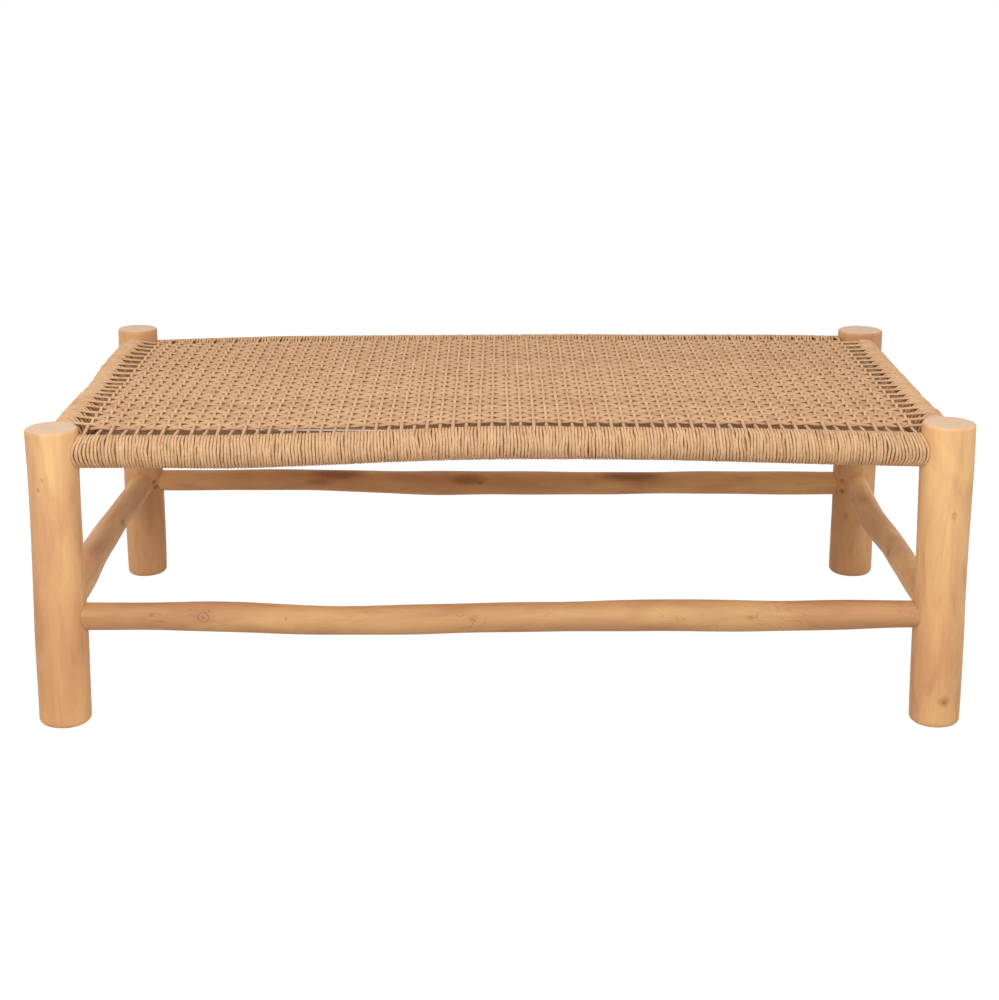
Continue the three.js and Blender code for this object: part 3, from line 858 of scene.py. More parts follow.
@dataclass(frozen=True)
class Leg(Log):
    """One upright peeled log, sawn flat at both ends, with its two edges rounded."""

    corner: str
    x: float
    y: float
    height: float
    radius: float
    seed: int
    girth_shares: Shares
    knots: tuple[Knot, ...]

    edge: float = 0.004
    foot_edge: float = 0.007
    sides: int = 96
    stations: int = 110
    edge_steps: int = 6
    face_shares: Shares = (0.86, 0.6, 0.3)
    lumps: Lumps = (
        (1, 3.1, 0.0005), (2, 7.0, 0.0006), (3, 11.0, 0.0003), (2, 23.0, 0.00025), (5, 17.0, 0.00012),
    )
    saw_wave: float = 0.0003
    saw_waves: int = 3

    def girth(self, z: Array) -> Array:
        """Radius at a height: the leg's radius times the smooth curve through its shares."""
        return self.radius * through(self.girth_shares, z / self.height)

    def skin(self) -> Skin:
        """Rings up the side, quarter rounds at its edges, and rings across its ends.

        Returns:
            The log's skin.
        """
        angle = corners_round(self.sides)
        quarter = np.linspace(0, math.pi / 2, self.edge_steps)
        in_share, up_share = 1 - np.sin(quarter), 1 - np.cos(quarter)
        side_z = np.linspace(self.foot_edge, self.height - self.edge, self.stations)[1:-1]
        inset = [self.foot_edge * in_share, np.zeros_like(side_z), self.edge * in_share[::-1]]
        z = np.concatenate([self.foot_edge * up_share, side_z, self.height - self.edge * up_share[::-1]])
        out = self.lumpy(angle[None, :], z[:, None]) - np.concatenate(inset)[:, None]
        shares = np.array(self.face_shares)[:, None]
        out = np.concatenate([out[0] * shares[::-1], out, out[-1] * shares])
        wave = self.saw_wave * np.sin(self.saw_waves * angle + self.seed)
        foot, top = np.zeros((len(shares), self.sides)), self.height - wave * shares
        height = np.concatenate([foot, np.repeat(z[:, None], self.sides, 1), top])
        return shell(np.stack([self.x + out * np.cos(angle), self.y + out * np.sin(angle), height], -1))


LEGS = {
    leg.corner: leg
    for leg in (
        Leg(
            "front_left", -SPAN_X / 2, -SPAN_Y / 2, 0.394, 0.0338, 3,
            (0.98, 0.99, 1, 0.98, 0.97, 0.97, 0.98, 1),
            (Knot(-101, 0.334, 0.0013, 0.45), Knot(-112, 0.321, 0.0017, 0.5), Knot(40, 0.21, 0.006, 0.6),
             Knot(-142, 0.137, 0.009, 0.7, 2.4, 0.0), Knot(170, 0.12, 0.004, 0.6)),
        ),
        Leg(
            "front_right", SPAN_X / 2, -SPAN_Y / 2, 0.400, 0.0336, 5,
            (0.97, 0.99, 1, 0.98, 0.97, 0.98, 1, 0.99),
            (Knot(-81, 0.286, 0.0032, 0.34), Knot(-83, 0.038, 0.0042, 1.0, 1.0, 0.0),
             Knot(-83, 0.037, 0.0018, 0.7, 1.1), Knot(-88, 0.021, 0.0008, 0.5),
             Knot(-79, 0.020, 0.0007, 0.5), Knot(-71, 0.078, 0.0006, 0.6, 0.4), Knot(120, 0.25, 0.005, 0.6)),
        ),
        Leg(
            "rear_left", -SPAN_X / 2, SPAN_Y / 2, 0.400, 0.0305, 8,
            (0.99, 1, 0.99, 0.98, 0.99, 1, 0.99, 0.97),
            (Knot(80, 0.18, 0.006, 0.7), Knot(-60, 0.33, 0.003, 0.4)),
        ),
        Leg(
            "rear_right", SPAN_X / 2, SPAN_Y / 2, 0.397, 0.034, 13,
            (1, 0.99, 0.98, 0.99, 1, 0.99, 0.98, 0.99),
            (Knot(95, 0.27, 0.005, 0.65), Knot(-120, 0.10, 0.003, 0.4)),
        ),
    )
}


@dataclass(frozen=True)
class Side:
    """One side of the frame, seen with its logs' length along, and across towards one hand."""

    start: Leg
    end: Leg
    inward: float
    span: float
    along: Place
    across: Place
    ends: tuple[str, str]

    def leg(self, end: int) -> Leg:
        """The leg at the first end, -1, or at the other, 1."""
        return self.start if end < 0 else self.end

    def place(self, across: Array, along: Array, up: Array) -> Array:
        """World places: the middle between the legs, plus across, along and up in their directions.

        Args:
            across: how far across the places lie.
            along: how far along.
            up: their heights.

        Returns:
            The places, by the arguments' shape and axis.
        """
        across, along, up = np.broadcast_arrays(across, along, up)
        middle = np.array([(self.start.x + self.end.x) / 2, (self.start.y + self.end.y) / 2, 0.0])
        flat = across[..., None] * np.array(self.across) + along[..., None] * np.array(self.along)
        return flat + middle + up[..., None] * np.array(UPWARD)


LONG = (SPAN_X, RIGHTWARD, FORWARD, ("left", "right"))
SHORT = (SPAN_Y, BACKWARD, RIGHTWARD, ("front", "rear"))
SIDES = {
    "front": Side(LEGS["front_left"], LEGS["front_right"], -1.0, *LONG),
    "rear": Side(LEGS["rear_left"], LEGS["rear_right"], 1.0, *LONG),
    "left": Side(LEGS["front_left"], LEGS["rear_left"], 1.0, *SHORT),
    "right": Side(LEGS["front_right"], LEGS["rear_right"], -1.0, *SHORT),
}


@dataclass(frozen=True)
class Branch(Log):
    """A thinner log that joins two legs: it wanders, swells, and ends in a shoulder and a tenon."""

    name: str
    side: Side
    height: float
    wander: float
    radius: float
    seed: int
    rise_shares: Shares
    across_shares: Shares
    girth_shares: Shares
    knots: tuple[Knot, ...] = ()

    tenon: float = 0.012
    tenon_chamfer: float = 0.001
    mortise_wall: float = 0.002
    sides: int = 56
    stations: int = 120
    lumps: Lumps = ((1, 9.0, 0.0004), (2, 14.0, 0.0006), (3, 21.0, 0.0003), (2, 46.0, 0.0002))

    def curve(self, shares: Shares, along: Array) -> Array:
        """The curve through shares, from the first leg's axis to the other's, at places along."""
        return through(shares, along / self.side.span + 0.5)

    def across(self, along: Array) -> Array:
        """How far the log's middle lies across: its wander times the curve through its shares."""
        return self.wander * self.curve(self.across_shares, along)

    def up(self, along: Array) -> Array:
        """Height of the log's middle: its height plus its wander times the curve through its shares."""
        return self.height + self.wander * self.curve(self.rise_shares, along)

    def girth(self, along: Array) -> Array:
        """Radius of the log: its radius times the curve through its shares."""
        return self.radius * self.curve(self.girth_shares, along)

    def scribe(self, end: int, across: Array, up: Array) -> Array:
        """Where a line along the log meets the leg at one of its ends.

        The leg's surface stands off its axis by the root of its radius squared less the line's
        distance across squared.

        Args:
            end: -1 for the first leg, 1 for the other.
            across: how far across the line lies.
            up: its height.

        Returns:
            The place along the log, with the fit gap to the leg.
        """
        leg = self.side.leg(end)
        nominal = np.sqrt(np.maximum(leg.girth(up) ** 2 - across**2, 0.0))
        contact = self.side.place(across, -end * nominal, up) - self.side.place(0.0, 0.0, 0.0)
        radius = leg.lumpy(np.arctan2(contact[..., 1], contact[..., 0]), up) + FIT_GAP
        return end * (self.side.span / 2 - np.sqrt(np.maximum(radius**2 - across**2, 0.0)))

    def end_rings(self, end: int, angle: Array) -> tuple[list[Array], list[Array]]:
        """Rings of one tenon, from its tip to its root at the scribed shoulder.

        Args:
            end: -1 for the first leg, 1 for the other.
            angle: angles of the rings' corners.

        Returns:
            Across, along and up of each ring, and the same in the log's own frame.
        """
        leg_at = end * self.side.span / 2
        tip = leg_at - end * (self.tenon + self.mortise_wall)
        drawn_in, edge = self.tenon - self.tenon_chamfer, tip - end * self.tenon_chamfer
        rings, grain = [], []
        for radius, along in ((drawn_in, tip), (self.tenon, edge), (self.tenon, None)):
            own = radius * np.cos(angle), radius * np.sin(angle)
            x, z = self.across(leg_at) + own[0], self.up(leg_at) + own[1]
            y = self.scribe(end, x, z) if along is None else np.full_like(x, along)
            rings.append(np.stack([x, y, z], -1))
            grain.append(np.stack([*own, y], -1))
        return rings, grain

    def skin(self) -> Skin:
        """Tenon, shoulder, and rings that blend from one scribed end to the other.

        Returns:
            The log's skin.
        """
        angle = corners_round(self.sides)
        limits = []
        for end in (-1, 1):
            near = end * (self.side.span / 2 - self.side.leg(end).radius)
            out = self.lumpy(angle, np.full_like(angle, near))
            across = self.across(near) + out * np.cos(angle)
            limits.append(self.scribe(end, across, self.up(near) + out * np.sin(angle)))
        along = blend(*limits, np.linspace(0, 1, self.stations)[:, None])
        out = self.lumpy(angle[None, :], along)
        own = out * np.cos(angle), out * np.sin(angle)
        local = np.stack([self.across(along) + own[0], along, self.up(along) + own[1]], -1)
        first, first_grain = self.end_rings(-1, angle)
        last, last_grain = self.end_rings(1, angle)
        local = np.stack([*first, *local, *last[::-1]])
        grain = np.stack([*first_grain, *np.stack([*own, along], -1), *last_grain[::-1]])
        return shell(self.side.place(local[..., 0], local[..., 1], local[..., 2]), grain)


def branches(kind: str, height: float, wander: float, rows: dict[str, tuple]) -> dict[str, Branch]:
    """A kind's four branches, from rows of radius, seed, curves up, across and of girth, and knots."""
    return {name: Branch(f"{name}_{kind}", SIDES[name], height, wander, *row) for name, row in rows.items()}


SEAT_RAILS = branches("seat_rail", 0.366, 0.008, {
    "front": (
        0.0177, 21,
        (-0.38, -0.38, -0.4, 0, 0.55, 0.92, 0.88, 0.78, 0.5, 0.12, -0.25),
        (0, 0.1, 0.2, 0.1, -0.1, -0.2, -0.1, 0.1, 0.2, 0.1, 0),
        (1, 0.98, 1, 0.97, 0.96, 1, 0.97, 0.98, 1.02, 1.03, 1),
    ),
    "rear": (
        0.0177, 22,
        (-0.88, -0.54, -0.2, 0.03, 0.2, 0.3, 0.31, 0.11, 0.13, 0.13, -0.13),
        (0, -0.15, -0.2, 0, 0.15, 0.2, 0.1, -0.1, -0.2, -0.1, 0),
        (0.98, 1, 1.02, 1, 0.98, 0.97, 1, 1.02, 1, 0.98, 1),
    ),
    "left": (
        0.020, 23,
        (-0.1, 0.3, 0.3, -0.4, 0, 0.1, 0),
        (0.3, 0.9, 0.75, 0.35, 0, -0.05, 0),
        (0.98, 1, 0.98, 0.96, 0.97, 1, 0.98),
    ),
    "right": (
        0.020, 24,
        (0.1, 0.2, 0.15, 0, 0, 0, 0),
        (0.3, -0.3, -0.6, -0.45, -0.4, -0.2, 0),
        (1, 1.03, 1.02, 1.04, 1.02, 1, 1),
    ),
})

STRETCHERS = branches("stretcher", 0.146, 0.009, {
    "front": (
        0.019, 31,
        (-0.33, -0.27, -0.3, -0.89, -1, -0.7, -0.47, -0.2, -0.2, -0.13, -0.09),
        (0, 0.2, 0.35, 0.1, -0.2, -0.3, -0.1, 0.2, 0.3, 0.1, 0),
        (0.91, 0.96, 1.04, 0.94, 0.99, 1.03, 1.03, 1.05, 1.02, 1.02, 0.9),
        (Knot(16, -0.379, 0.0060, 0.34, 1.3), Knot(40, -0.372, 0.0011, 0.8, 0.6),
         Knot(38, -0.385, 0.0007, 0.5, 0.6), Knot(46, -0.396, 0.0009, 0.6),
         Knot(20, -0.274, 0.0016, 0.4, 0.7), Knot(25, -0.034, 0.0028, 0.3, 1.6, 0.5),
         Knot(10, 0.32, 0.0022, 0.25), Knot(190, 0.1, 0.005, 0.6)),
    ),
    "rear": (
        0.0176, 32,
        (0.7, 0.71, 0.67, 0.42, 0.17, 0.2, 0.19, 0.16, 0.13, 0.07, 0),
        (0, -0.2, -0.3, -0.1, 0.2, 0.3, 0.2, 0, -0.2, -0.1, 0),
        (0.93, 0.9, 0.92, 1, 1.1, 1.03, 1.02, 1.02, 1.04, 1.02, 1),
        (Knot(60, -0.26, 0.006, 1.7, 4.0, 0.0), Knot(60, 0.21, 0.006, 1.7, 4.5, 0.0),
         Knot(5, -0.285, 0.003, 1.2, 3.5, 0.0), Knot(15, -0.03, 0.0016, 0.9, 2.6, 0.7),
         Knot(35, -0.05, 0.005, 1.4, 3.0, 0.0), Knot(185, 0.28, 0.005, 0.7)),
    ),
    "left": (
        0.019, 33,
        (0.33, 0.6, 0.65, 0.2, 0.5, 0.6, 0.42),
        (0.3, 0.3, -0.4, -0.75, -0.4, 0, 0),
        (0.96, 1.04, 1.06, 1.04, 1, 1.02, 0.96),
        (Knot(20, 0.06, 0.004, 0.5), Knot(170, -0.1, 0.004, 0.6)),
    ),
    "right": (
        0.019, 34,
        (0.33, 0.7, 0.4, -0.2, 0, 0.3, 0.55),
        (-0.3, -0.7, -0.6, -0.2, -0.8, -0.6, 0.1),
        (0.94, 1, 0.98, 0.96, 0.98, 0.96, 0.92),
        (Knot(160, -0.08, 0.004, 0.5), Knot(10, 0.12, 0.005, 0.6)),
    ),
})


@dataclass(frozen=True)
class Peg:
    """A round peg across a tenon, driven from the frame's inside, with both ends chamfered."""

    branch: Branch
    end: int

    radius: float = 0.003
    proud: float = 0.001
    blind: float = 0.003
    chamfer: float = 0.0006
    sides: int = 20
    sharp: float = 30.0

    def line(self) -> tuple[float, float, float, float]:
        """Where the peg lies: midway from the tenon's tip to the leg's skin, half the tenon's radius aside.

        Returns:
            Its place along the side and up, and its outer and inner ends across, inward.
        """
        side = self.branch.side
        leg_at = self.end * side.span / 2
        up = float(self.branch.up(leg_at))
        radius = float(side.leg(self.end).girth(up))
        from_axis = (Branch.tenon + Branch.mortise_wall + radius) / 2
        step = Branch.tenon / 2 if side.along == BACKWARD else -Branch.tenon / 2
        outer = math.sqrt(radius**2 - from_axis**2) + self.proud
        return leg_at - self.end * from_axis, up + step, outer, -(Branch.tenon + self.blind)

    def skin(self) -> Skin:
        """Rings along the peg, the first and the last drawn in by the chamfer.

        Returns:
            The peg's skin.
        """
        along, up, outer, inner = self.line()
        angle = corners_round(self.sides)
        runs = np.array([inner, inner + self.chamfer, outer - self.chamfer, outer])[:, None]
        radii = self.radius - self.chamfer * np.array([1.0, 0.0, 0.0, 1.0])[:, None]
        across = self.branch.side.inward * runs
        along, up = along + radii * np.cos(angle), up + radii * np.sin(angle)
        return shell(self.branch.side.place(across, along, up))


class Leaving(Enum):
    """How a woven cord leaves the rail that it is wound on."""

    OVER = "from the rail's top"
    BENEATH = "from under the rail"


@dataclass(frozen=True)
class Bend:
    """How groups of turns lean at one angle round a rail.

    At the middle angle a group's turns lie off their places by a stray distance, and by less as the
    square of a cosine up to the reach. A group has from the first to below the second number of turns.
    """

    middle: float
    reach: float
    stray: float
    group: tuple[int, int]


@dataclass
class Winding:
    """The cord wound on one seat rail: places for turns, some of them taken by woven cords.

    Angles round the rail are in degrees from its inner side: 90 is its top, 180 its outer side.
    """

    rail: Branch
    seed: int
    taken: set[int] = field(default_factory=set)

    # What is added to the seed for the turns and for their slant
    turn_seed: int = 7
    slant_seed: int = 1

    # The cord's section, and the steps of a turn
    half_wide: float = 0.00192
    steps: int = 36
    sides: int = 7
    begin: float = 40.0

    # How uneven the turns' places are, how each strays from its own, and over what angles it does
    uneven: float = 0.02
    stray: float = 0.00012
    stray_waves: tuple[int, ...] = (2, 3, 4, 6)
    lift: float = 0.00035
    held: tuple[float, ...] = (42.0, 40.0, 292.0, 66.0)

    # How groups of turns lean, and ride up on each other
    bends: tuple[Bend, ...] = (
        Bend(128.0, 36.0, 0.0006, (2, 5)),
        Bend(160.0, 38.0, 0.0007, (2, 6)),
        Bend(196.0, 40.0, 0.0005, (3, 7)),
    )
    ride: float = 0.8
    most_ride: float = 0.0010

    # How turns fit round the legs, and slant over the outer side
    saddle_reach: float = 0.026
    end_fade: float = 0.02
    slant: float = 0.0015
    slant_stray: float = 0.0009
    slant_waves: tuple[float, float] = (0.60, 0.09)
    slanted: tuple[float, ...] = (90.0, 130.0, 290.0, 70.0)

    # How woven cords are tucked under the turns
    tuck: float = 0.0030
    tuck_angle: float = 26.0

    def __post_init__(self) -> None:
        """Works out the turns' places between the two legs, and how groups of them lean and ride.

        The places step by the turn's pitch, a little uneven, scaled to fill the room between legs.
        """
        side = self.rail.side
        half = side.span / 2
        self.low = -half + side.start.radius + FIT_GAP + CORD / 2
        self.high = half - side.end.radius - FIT_GAP - CORD / 2
        self.count = int(round((self.high - self.low) / TURN_PITCH)) + 1
        rng = np.random.default_rng(self.seed)
        steps = 1.0 + self.uneven * rng.standard_normal(self.count - 1)
        run = np.concatenate([[0.0], np.cumsum(steps)])
        self.places = self.low + (self.high - self.low) * run / run[-1]
        inside = ease(self.from_ends(self.places) / self.end_fade)
        self.leans: list[Array] = []
        self.rides: list[Array] = []
        for bend in self.bends:
            group = np.repeat(np.arange(self.count), rng.integers(*bend.group, self.count))[: self.count]
            leans = bend.stray * rng.standard_normal(self.count)[group] * inside
            squeezed = np.maximum(leans[:-1] - leans[1:], 0.0)
            self.leans.append(leans)
            self.rides.append(np.minimum(self.ride * np.concatenate([[0.0], squeezed]), self.most_ride))

    def from_ends(self, along: Array) -> Array:
        """Distance of a place from the nearer end of the winding."""
        return np.minimum(along - self.low, self.high - along)

    def claim(self, turns: Array) -> Array:
        """Takes turns for woven cords, and gives their places along the rail."""
        self.taken.update(turns.ravel().tolist())
        return self.places[turns]

    def ring(self, along: Array, degrees: Array, lift: Array | float = 0.0) -> Course:
        """Course along the turns.

        Round the rail's middle, the place is the radius times the angle's cosine inward and its
        sine up. Its place along follows the saddle of the nearest leg, the slow slant, and on the
        outer face the lean of its group of turns. A turn that a group leans on rides up on it.

        Args:
            along: places along the rail, as at its top, by cord and step.
            degrees: angles round the rail, by cord and step.
            lift: how far off its seat the cord lies.

        Returns:
            The places on the turns, whose way out is away from the rail's middle.
        """
        along, degrees = np.broadcast_arrays(along, np.asarray(degrees, float))
        side, angle = self.rail.side, np.deg2rad(degrees)
        radius = self.rail.girth(along) + FIT_GAP + CORD / 2 + lift
        shift = np.zeros(along.shape)
        for bend, leans, rides in zip(self.bends, self.leans, self.rides):
            off = np.clip(np.abs(degrees - bend.middle) / bend.reach, 0.0, 1.0)
            face = np.cos(off * math.pi / 2) ** 2
            shift = shift + face * np.interp(along, self.places, leans)
            radius = radius + face * np.interp(along, self.places, rides)
        across = self.rail.across(along) + side.inward * radius * np.cos(angle)
        for end, edge in ((-1, self.low), (1, self.high)):
            leg_radius = side.leg(end).radius
            depth = leg_radius - np.sqrt(np.maximum(leg_radius**2 - across**2, 0.0))
            shift = shift + end * depth * np.exp(-np.abs(along - edge) / self.saddle_reach)
        slow = Ripple(self.seed + self.slant_seed, self.slant_stray, *self.slant_waves)
        slant = self.slant + slow.at(along)
        fade = np.clip(self.from_ends(along) / self.end_fade, 0.0, 1.0)
        lean = slant * fade * window(degrees, *self.slanted)
        up = self.rail.up(along) + radius * np.sin(angle)
        out = side.inward * np.cos(angle)[..., None] * np.array(side.across)
        out = out + np.sin(angle)[..., None] * np.array(UPWARD)
        return Course(side.place(across, along + shift + lean, up), out)

    def turns(self) -> Skin:
        """The plain turns as one unbroken cord.

        Each turn lies in its own place over the top, the outer side and the bottom. On the inner
        side the turns are spaced evenly, and pass from one place to the next.

        Returns:
            The cord's skin.
        """
        free = np.setdiff1d(np.arange(self.count), list(self.taken))
        turns = len(free)
        rng = np.random.default_rng(self.seed + self.turn_seed)
        share = np.arange(self.steps) / self.steps
        degrees = self.begin + 360.0 * share
        even = blend(self.low, self.high, (np.arange(turns)[:, None] + share) / turns)
        held = window(degrees, *self.held)
        wobble = np.zeros((turns, self.steps))
        for waves in self.stray_waves:
            phase = rng.uniform(0, FULL_TURN, turns)[:, None]
            height = self.stray * rng.standard_normal(turns)[:, None]
            wobble += height * np.sin(waves * np.deg2rad(degrees) + phase)
        along = blend(even, self.places[free][:, None], held) + wobble * held
        along = np.clip(along, self.low, self.high)
        lift = self.lift * rng.random(turns)[:, None] * held
        every = np.broadcast_to(degrees, along.shape)
        course = self.ring(along.reshape(1, -1), every.reshape(1, -1), lift.reshape(1, -1))
        tone = np.repeat(rng.random(turns), self.steps)
        tone = np.convolve(tone, np.full(self.steps, 1.0 / self.steps), "same")
        return sweep(course, self.rail.side.along, tone[None], self.half_wide, CORD / 2, self.sides)

    def arc(self, along: Array, begin: float, end: float, steps: int) -> Course:
        """Arcs of woven cords round the rail, tucked under the turns where they begin.

        Args:
            along: each cord's place along the rail.
            begin: angle of the tucked end.
            end: angle where the cord leaves.
            steps: places on each arc.

        Returns:
            The course from the tucked end.
        """
        degrees = np.linspace(begin, end, steps)[None, :]
        tuck = -self.tuck * (1.0 - ease(np.abs(degrees - begin) / self.tuck_angle))
        return self.ring(along[:, None], degrees, tuck)


@dataclass
class Weave:
    """The woven top: single warps from front to back, and pairs of wefts that go over and under.

    A place in the weave is a warp's number and a row's number, and both may be fractions.
    """

    windings: dict[str, Winding]

    # The first and last warp and row, and the sections of the cords
    edge_warp: float = 0.527
    row_low: float = -0.2615
    row_high: float = 0.2625
    warp_halves: tuple[float, float] = (0.0022, 0.0019)
    weft_halves: tuple[float, float] = (0.0022, 0.0014)
    lower_halves: tuple[float, float] = (0.0020, 0.0018)
    warp_tones: tuple[float, float] = (0.4, 0.6)
    seed: int = 71
    tone_seed: int = 76
    return_seed: int = 80

    # Heights of the weave below the rails' tops, and half the distance between a pair's cords
    plane_drop: float = 0.0024
    warp_rise: float = 0.0010
    warp_lift: float = 0.0026
    weft_lift: float = 0.0008
    pair_pinch: float = 0.0018
    pair_spread: float = 0.0035

    # Irregularities: seed step, height, longest and shortest wave in crossings, and step per line
    row_wander: tuple[float, ...] = (0, 0.00035, 40.0, 7.0, 11.3)
    row_drift: tuple[float, ...] = (1, 0.0006, 19.0, 5.0, 0.05)
    warp_wander: tuple[float, ...] = (2, 0.0005, 17.0, 4.0, 7.7)
    loose: tuple[float, ...] = (3, 0.0003, 9.0, 2.0, 17.9)

    # Crossings over which the rows' irregularities fade in, and the least sum of weights
    wander_fade: float = 3.0
    least: float = 1e-9

    # Angles round a rail where cords are tucked in and leave, and how they rise from beneath it
    top_angle: float = 90.0
    bottom_angle: float = 270.0
    warp_tuck: float = 300.0
    weft_tuck: float = 50.0
    weft_rise: float = 322.0
    leave_pull: float = 1.1
    arrive_pull: float = 0.8

    # Steps between crossings, round a rail, across the gap beside it, and of what lies below
    warp_steps: int = 5
    weft_steps: int = 6
    arc_steps: int = 22
    long_arc_steps: int = 28
    gap_steps: int = 8
    rise_steps: int = 12
    lower_steps: int = 48

    # The returning cords: number, which are missing, stray, and rows before the first and last row
    lower_cords: int = 120
    lower_missing: tuple[int, ...] = (28, 29, 30)
    lower_stray: float = 0.0005
    lower_ahead: tuple[float, float] = (0.5, 0.25)

    def __post_init__(self) -> None:
        """Claims a turn of each long rail for each warp, and two of each short rail for each row."""
        wanted_x = np.linspace(-self.edge_warp, self.edge_warp, WARPS)[:, None]
        wanted_y = np.linspace(self.row_low, self.row_high, ROWS)
        self.ends: dict[str, Array] = {}
        for name, winding in self.windings.items():
            if winding.rail.side.along == RIGHTWARD:
                turns = np.abs(winding.places - wanted_x).argmin(1)
            else:
                low = np.clip(np.searchsorted(winding.places, wanted_y) - 1, 0, winding.count - 2)
                turns = low[:, None] + np.arange(2)
            self.ends[name] = winding.claim(turns)
        self.tones = np.random.default_rng(self.tone_seed).random(WARPS + 2 * ROWS)

    @staticmethod
    def leaving(side: str, row: int) -> Leaving:
        """Even rows rise from beneath the left rail and come over the right one, odd rows the reverse."""
        return Leaving.BENEATH if (row % 2 == 0) == (side == "left") else Leaving.OVER

    def ripple(self, shape: tuple, along: Array, line: Array) -> Array:
        """One of the irregularities, along a line, and other for each line."""
        number, *waves, step = shape
        return Ripple(self.seed + number, *waves).at(along + step * line)

    def crown(self, name: str, along: Array) -> Array:
        """Height of the top of a rail's winding."""
        rail = self.windings[name].rail
        return rail.up(along) + rail.girth(along) + FIT_GAP + CORD

    def top(self, x: Array, y: Array) -> Array:
        """Height of the surface stretched between the four rails' tops.

        The long rails' tops blended along y weigh half the long span squared less x squared. The
        short rails' tops blended along x weigh half the short span squared less y squared.

        Args:
            x: places to the right.
            y: places to the back.

        Returns:
            The height at each place.
        """
        along_x = blend(self.crown("front", x), self.crown("rear", x), y / SPAN_Y + 0.5)
        along_y = blend(self.crown("left", y), self.crown("right", y), x / SPAN_X + 0.5)
        from_ends = np.maximum((SPAN_X / 2) ** 2 - x**2, 0.0)
        from_long = np.maximum((SPAN_Y / 2) ** 2 - y**2, 0.0)
        return blend(along_y, along_x, from_ends / np.maximum(from_ends + from_long, self.least))

    def crossing(self, warp: Array, row: Array) -> tuple[Array, Array]:
        """Where warps and rows cross.

        Warps run straight between their turns, and rows are evenly spaced. Both have a slow wander,
        which fades where they end.

        Args:
            warp: the warps' numbers.
            row: the rows' numbers.

        Returns:
            The places to the right and to the back.
        """
        share = row / (ROWS - 1)
        front, rear = (np.interp(warp, np.arange(WARPS), self.ends[name]) for name in ("front", "rear"))
        wander = self.ripple(self.warp_wander, row, warp)
        x = blend(front, rear, share) + wander * np.sin(math.pi * share)
        inside = np.clip(np.minimum(warp, WARPS - 1 - warp) / self.wander_fade, 0.0, 1.0)
        wander = self.ripple(self.row_wander, warp, row) + self.ripple(self.row_drift, row, warp)
        return x, blend(self.row_low, self.row_high, share) + inside * wander

    def warps(self, parity: int) -> Skin:
        """The warps: round the front rail, over and under all rows, and round the rear rail.

        The height is the plane's plus the lift times minus the cosine of half a turn for each row,
        so that a warp is up where a weft is down.

        Args:
            parity: 0 for the even warps, 1 for the odd ones.

        Returns:
            Their skin.
        """
        chosen = np.arange(parity, WARPS, 2)
        number = chosen[:, None]
        row = np.linspace(0, ROWS - 1, (ROWS - 1) * self.warp_steps + 1)[None, :]
        x, y = self.crossing(number, row)
        over = -np.cos(math.pi * (number + 1 + row))
        z = self.top(x, y) - self.plane_drop + self.warp_rise + self.warp_lift * over
        middle = np.stack([x, y, z], -1)
        first, last = (
            self.windings[name].arc(self.ends[name][chosen], self.warp_tuck, self.top_angle, self.arc_steps)
            for name in ("front", "rear")
        )
        onto = self.bridge(first.path[:, -1], middle[:, 0])
        off = self.bridge(middle[:, -1], last.path[:, -1], rail_last=True)
        course = first.then(onto, Course.facing(middle), off, last.back())
        tone = blend(*self.warp_tones, self.tones[chosen][:, None])
        return sweep(course, RIGHTWARD, tone, *self.warp_halves)

    def bridge(self, begin: Array, end: Array, rail_last: bool = False) -> Course:
        """Cords' stretch between a rail's top and a crossing, ends left out.

        It is straight in plan, and its height above the surface eases from one end's to the other's.

        Args:
            begin: where each stretch begins.
            end: where it ends.
            rail_last: whether the rail is at the end.

        Returns:
            The course.
        """
        share = np.linspace(0, 1, self.gap_steps + 2)[1:-1][None, :, None]
        line = blend(begin[:, None], end[:, None], share)
        share = share[..., 0]
        off = [(place[:, 2] - self.top(place[:, 0], place[:, 1]))[:, None] for place in (begin, end)]
        height = self.top(line[..., 0], line[..., 1]) + blend(*off, ease(share))
        near = share if rail_last else 1.0 - share
        line[..., 2] = blend(height, np.maximum(height, line[..., 2]), near)
        return Course.facing(line)

    def weft_middle(self, rows: Array, member: int) -> Array:
        """The wefts' stretch over and under all warps.

        The height is the plane's plus the lift times the cosine of half a turn for each warp. The
        pair is pinched at each warp and spread between warps, as the square of a sine.

        Args:
            rows: the rows' numbers.
            member: -1 for the pair's front cord, 1 for its back one.

        Returns:
            World places by cord, step and axis.
        """
        number = np.linspace(0, WARPS - 1, (WARPS - 1) * self.weft_steps + 1)[None, :]
        row = rows[:, None].astype(float)
        spread = self.pair_spread + self.ripple(self.loose, number, row)
        half = blend(self.pair_pinch, spread, np.sin(math.pi * number) ** 2)
        x, y = self.crossing(number, row)
        y = y + member * half
        over = np.cos(math.pi * (number + 1 + row))
        return np.stack([x, y, self.top(x, y) - self.plane_drop + self.weft_lift * over], -1)

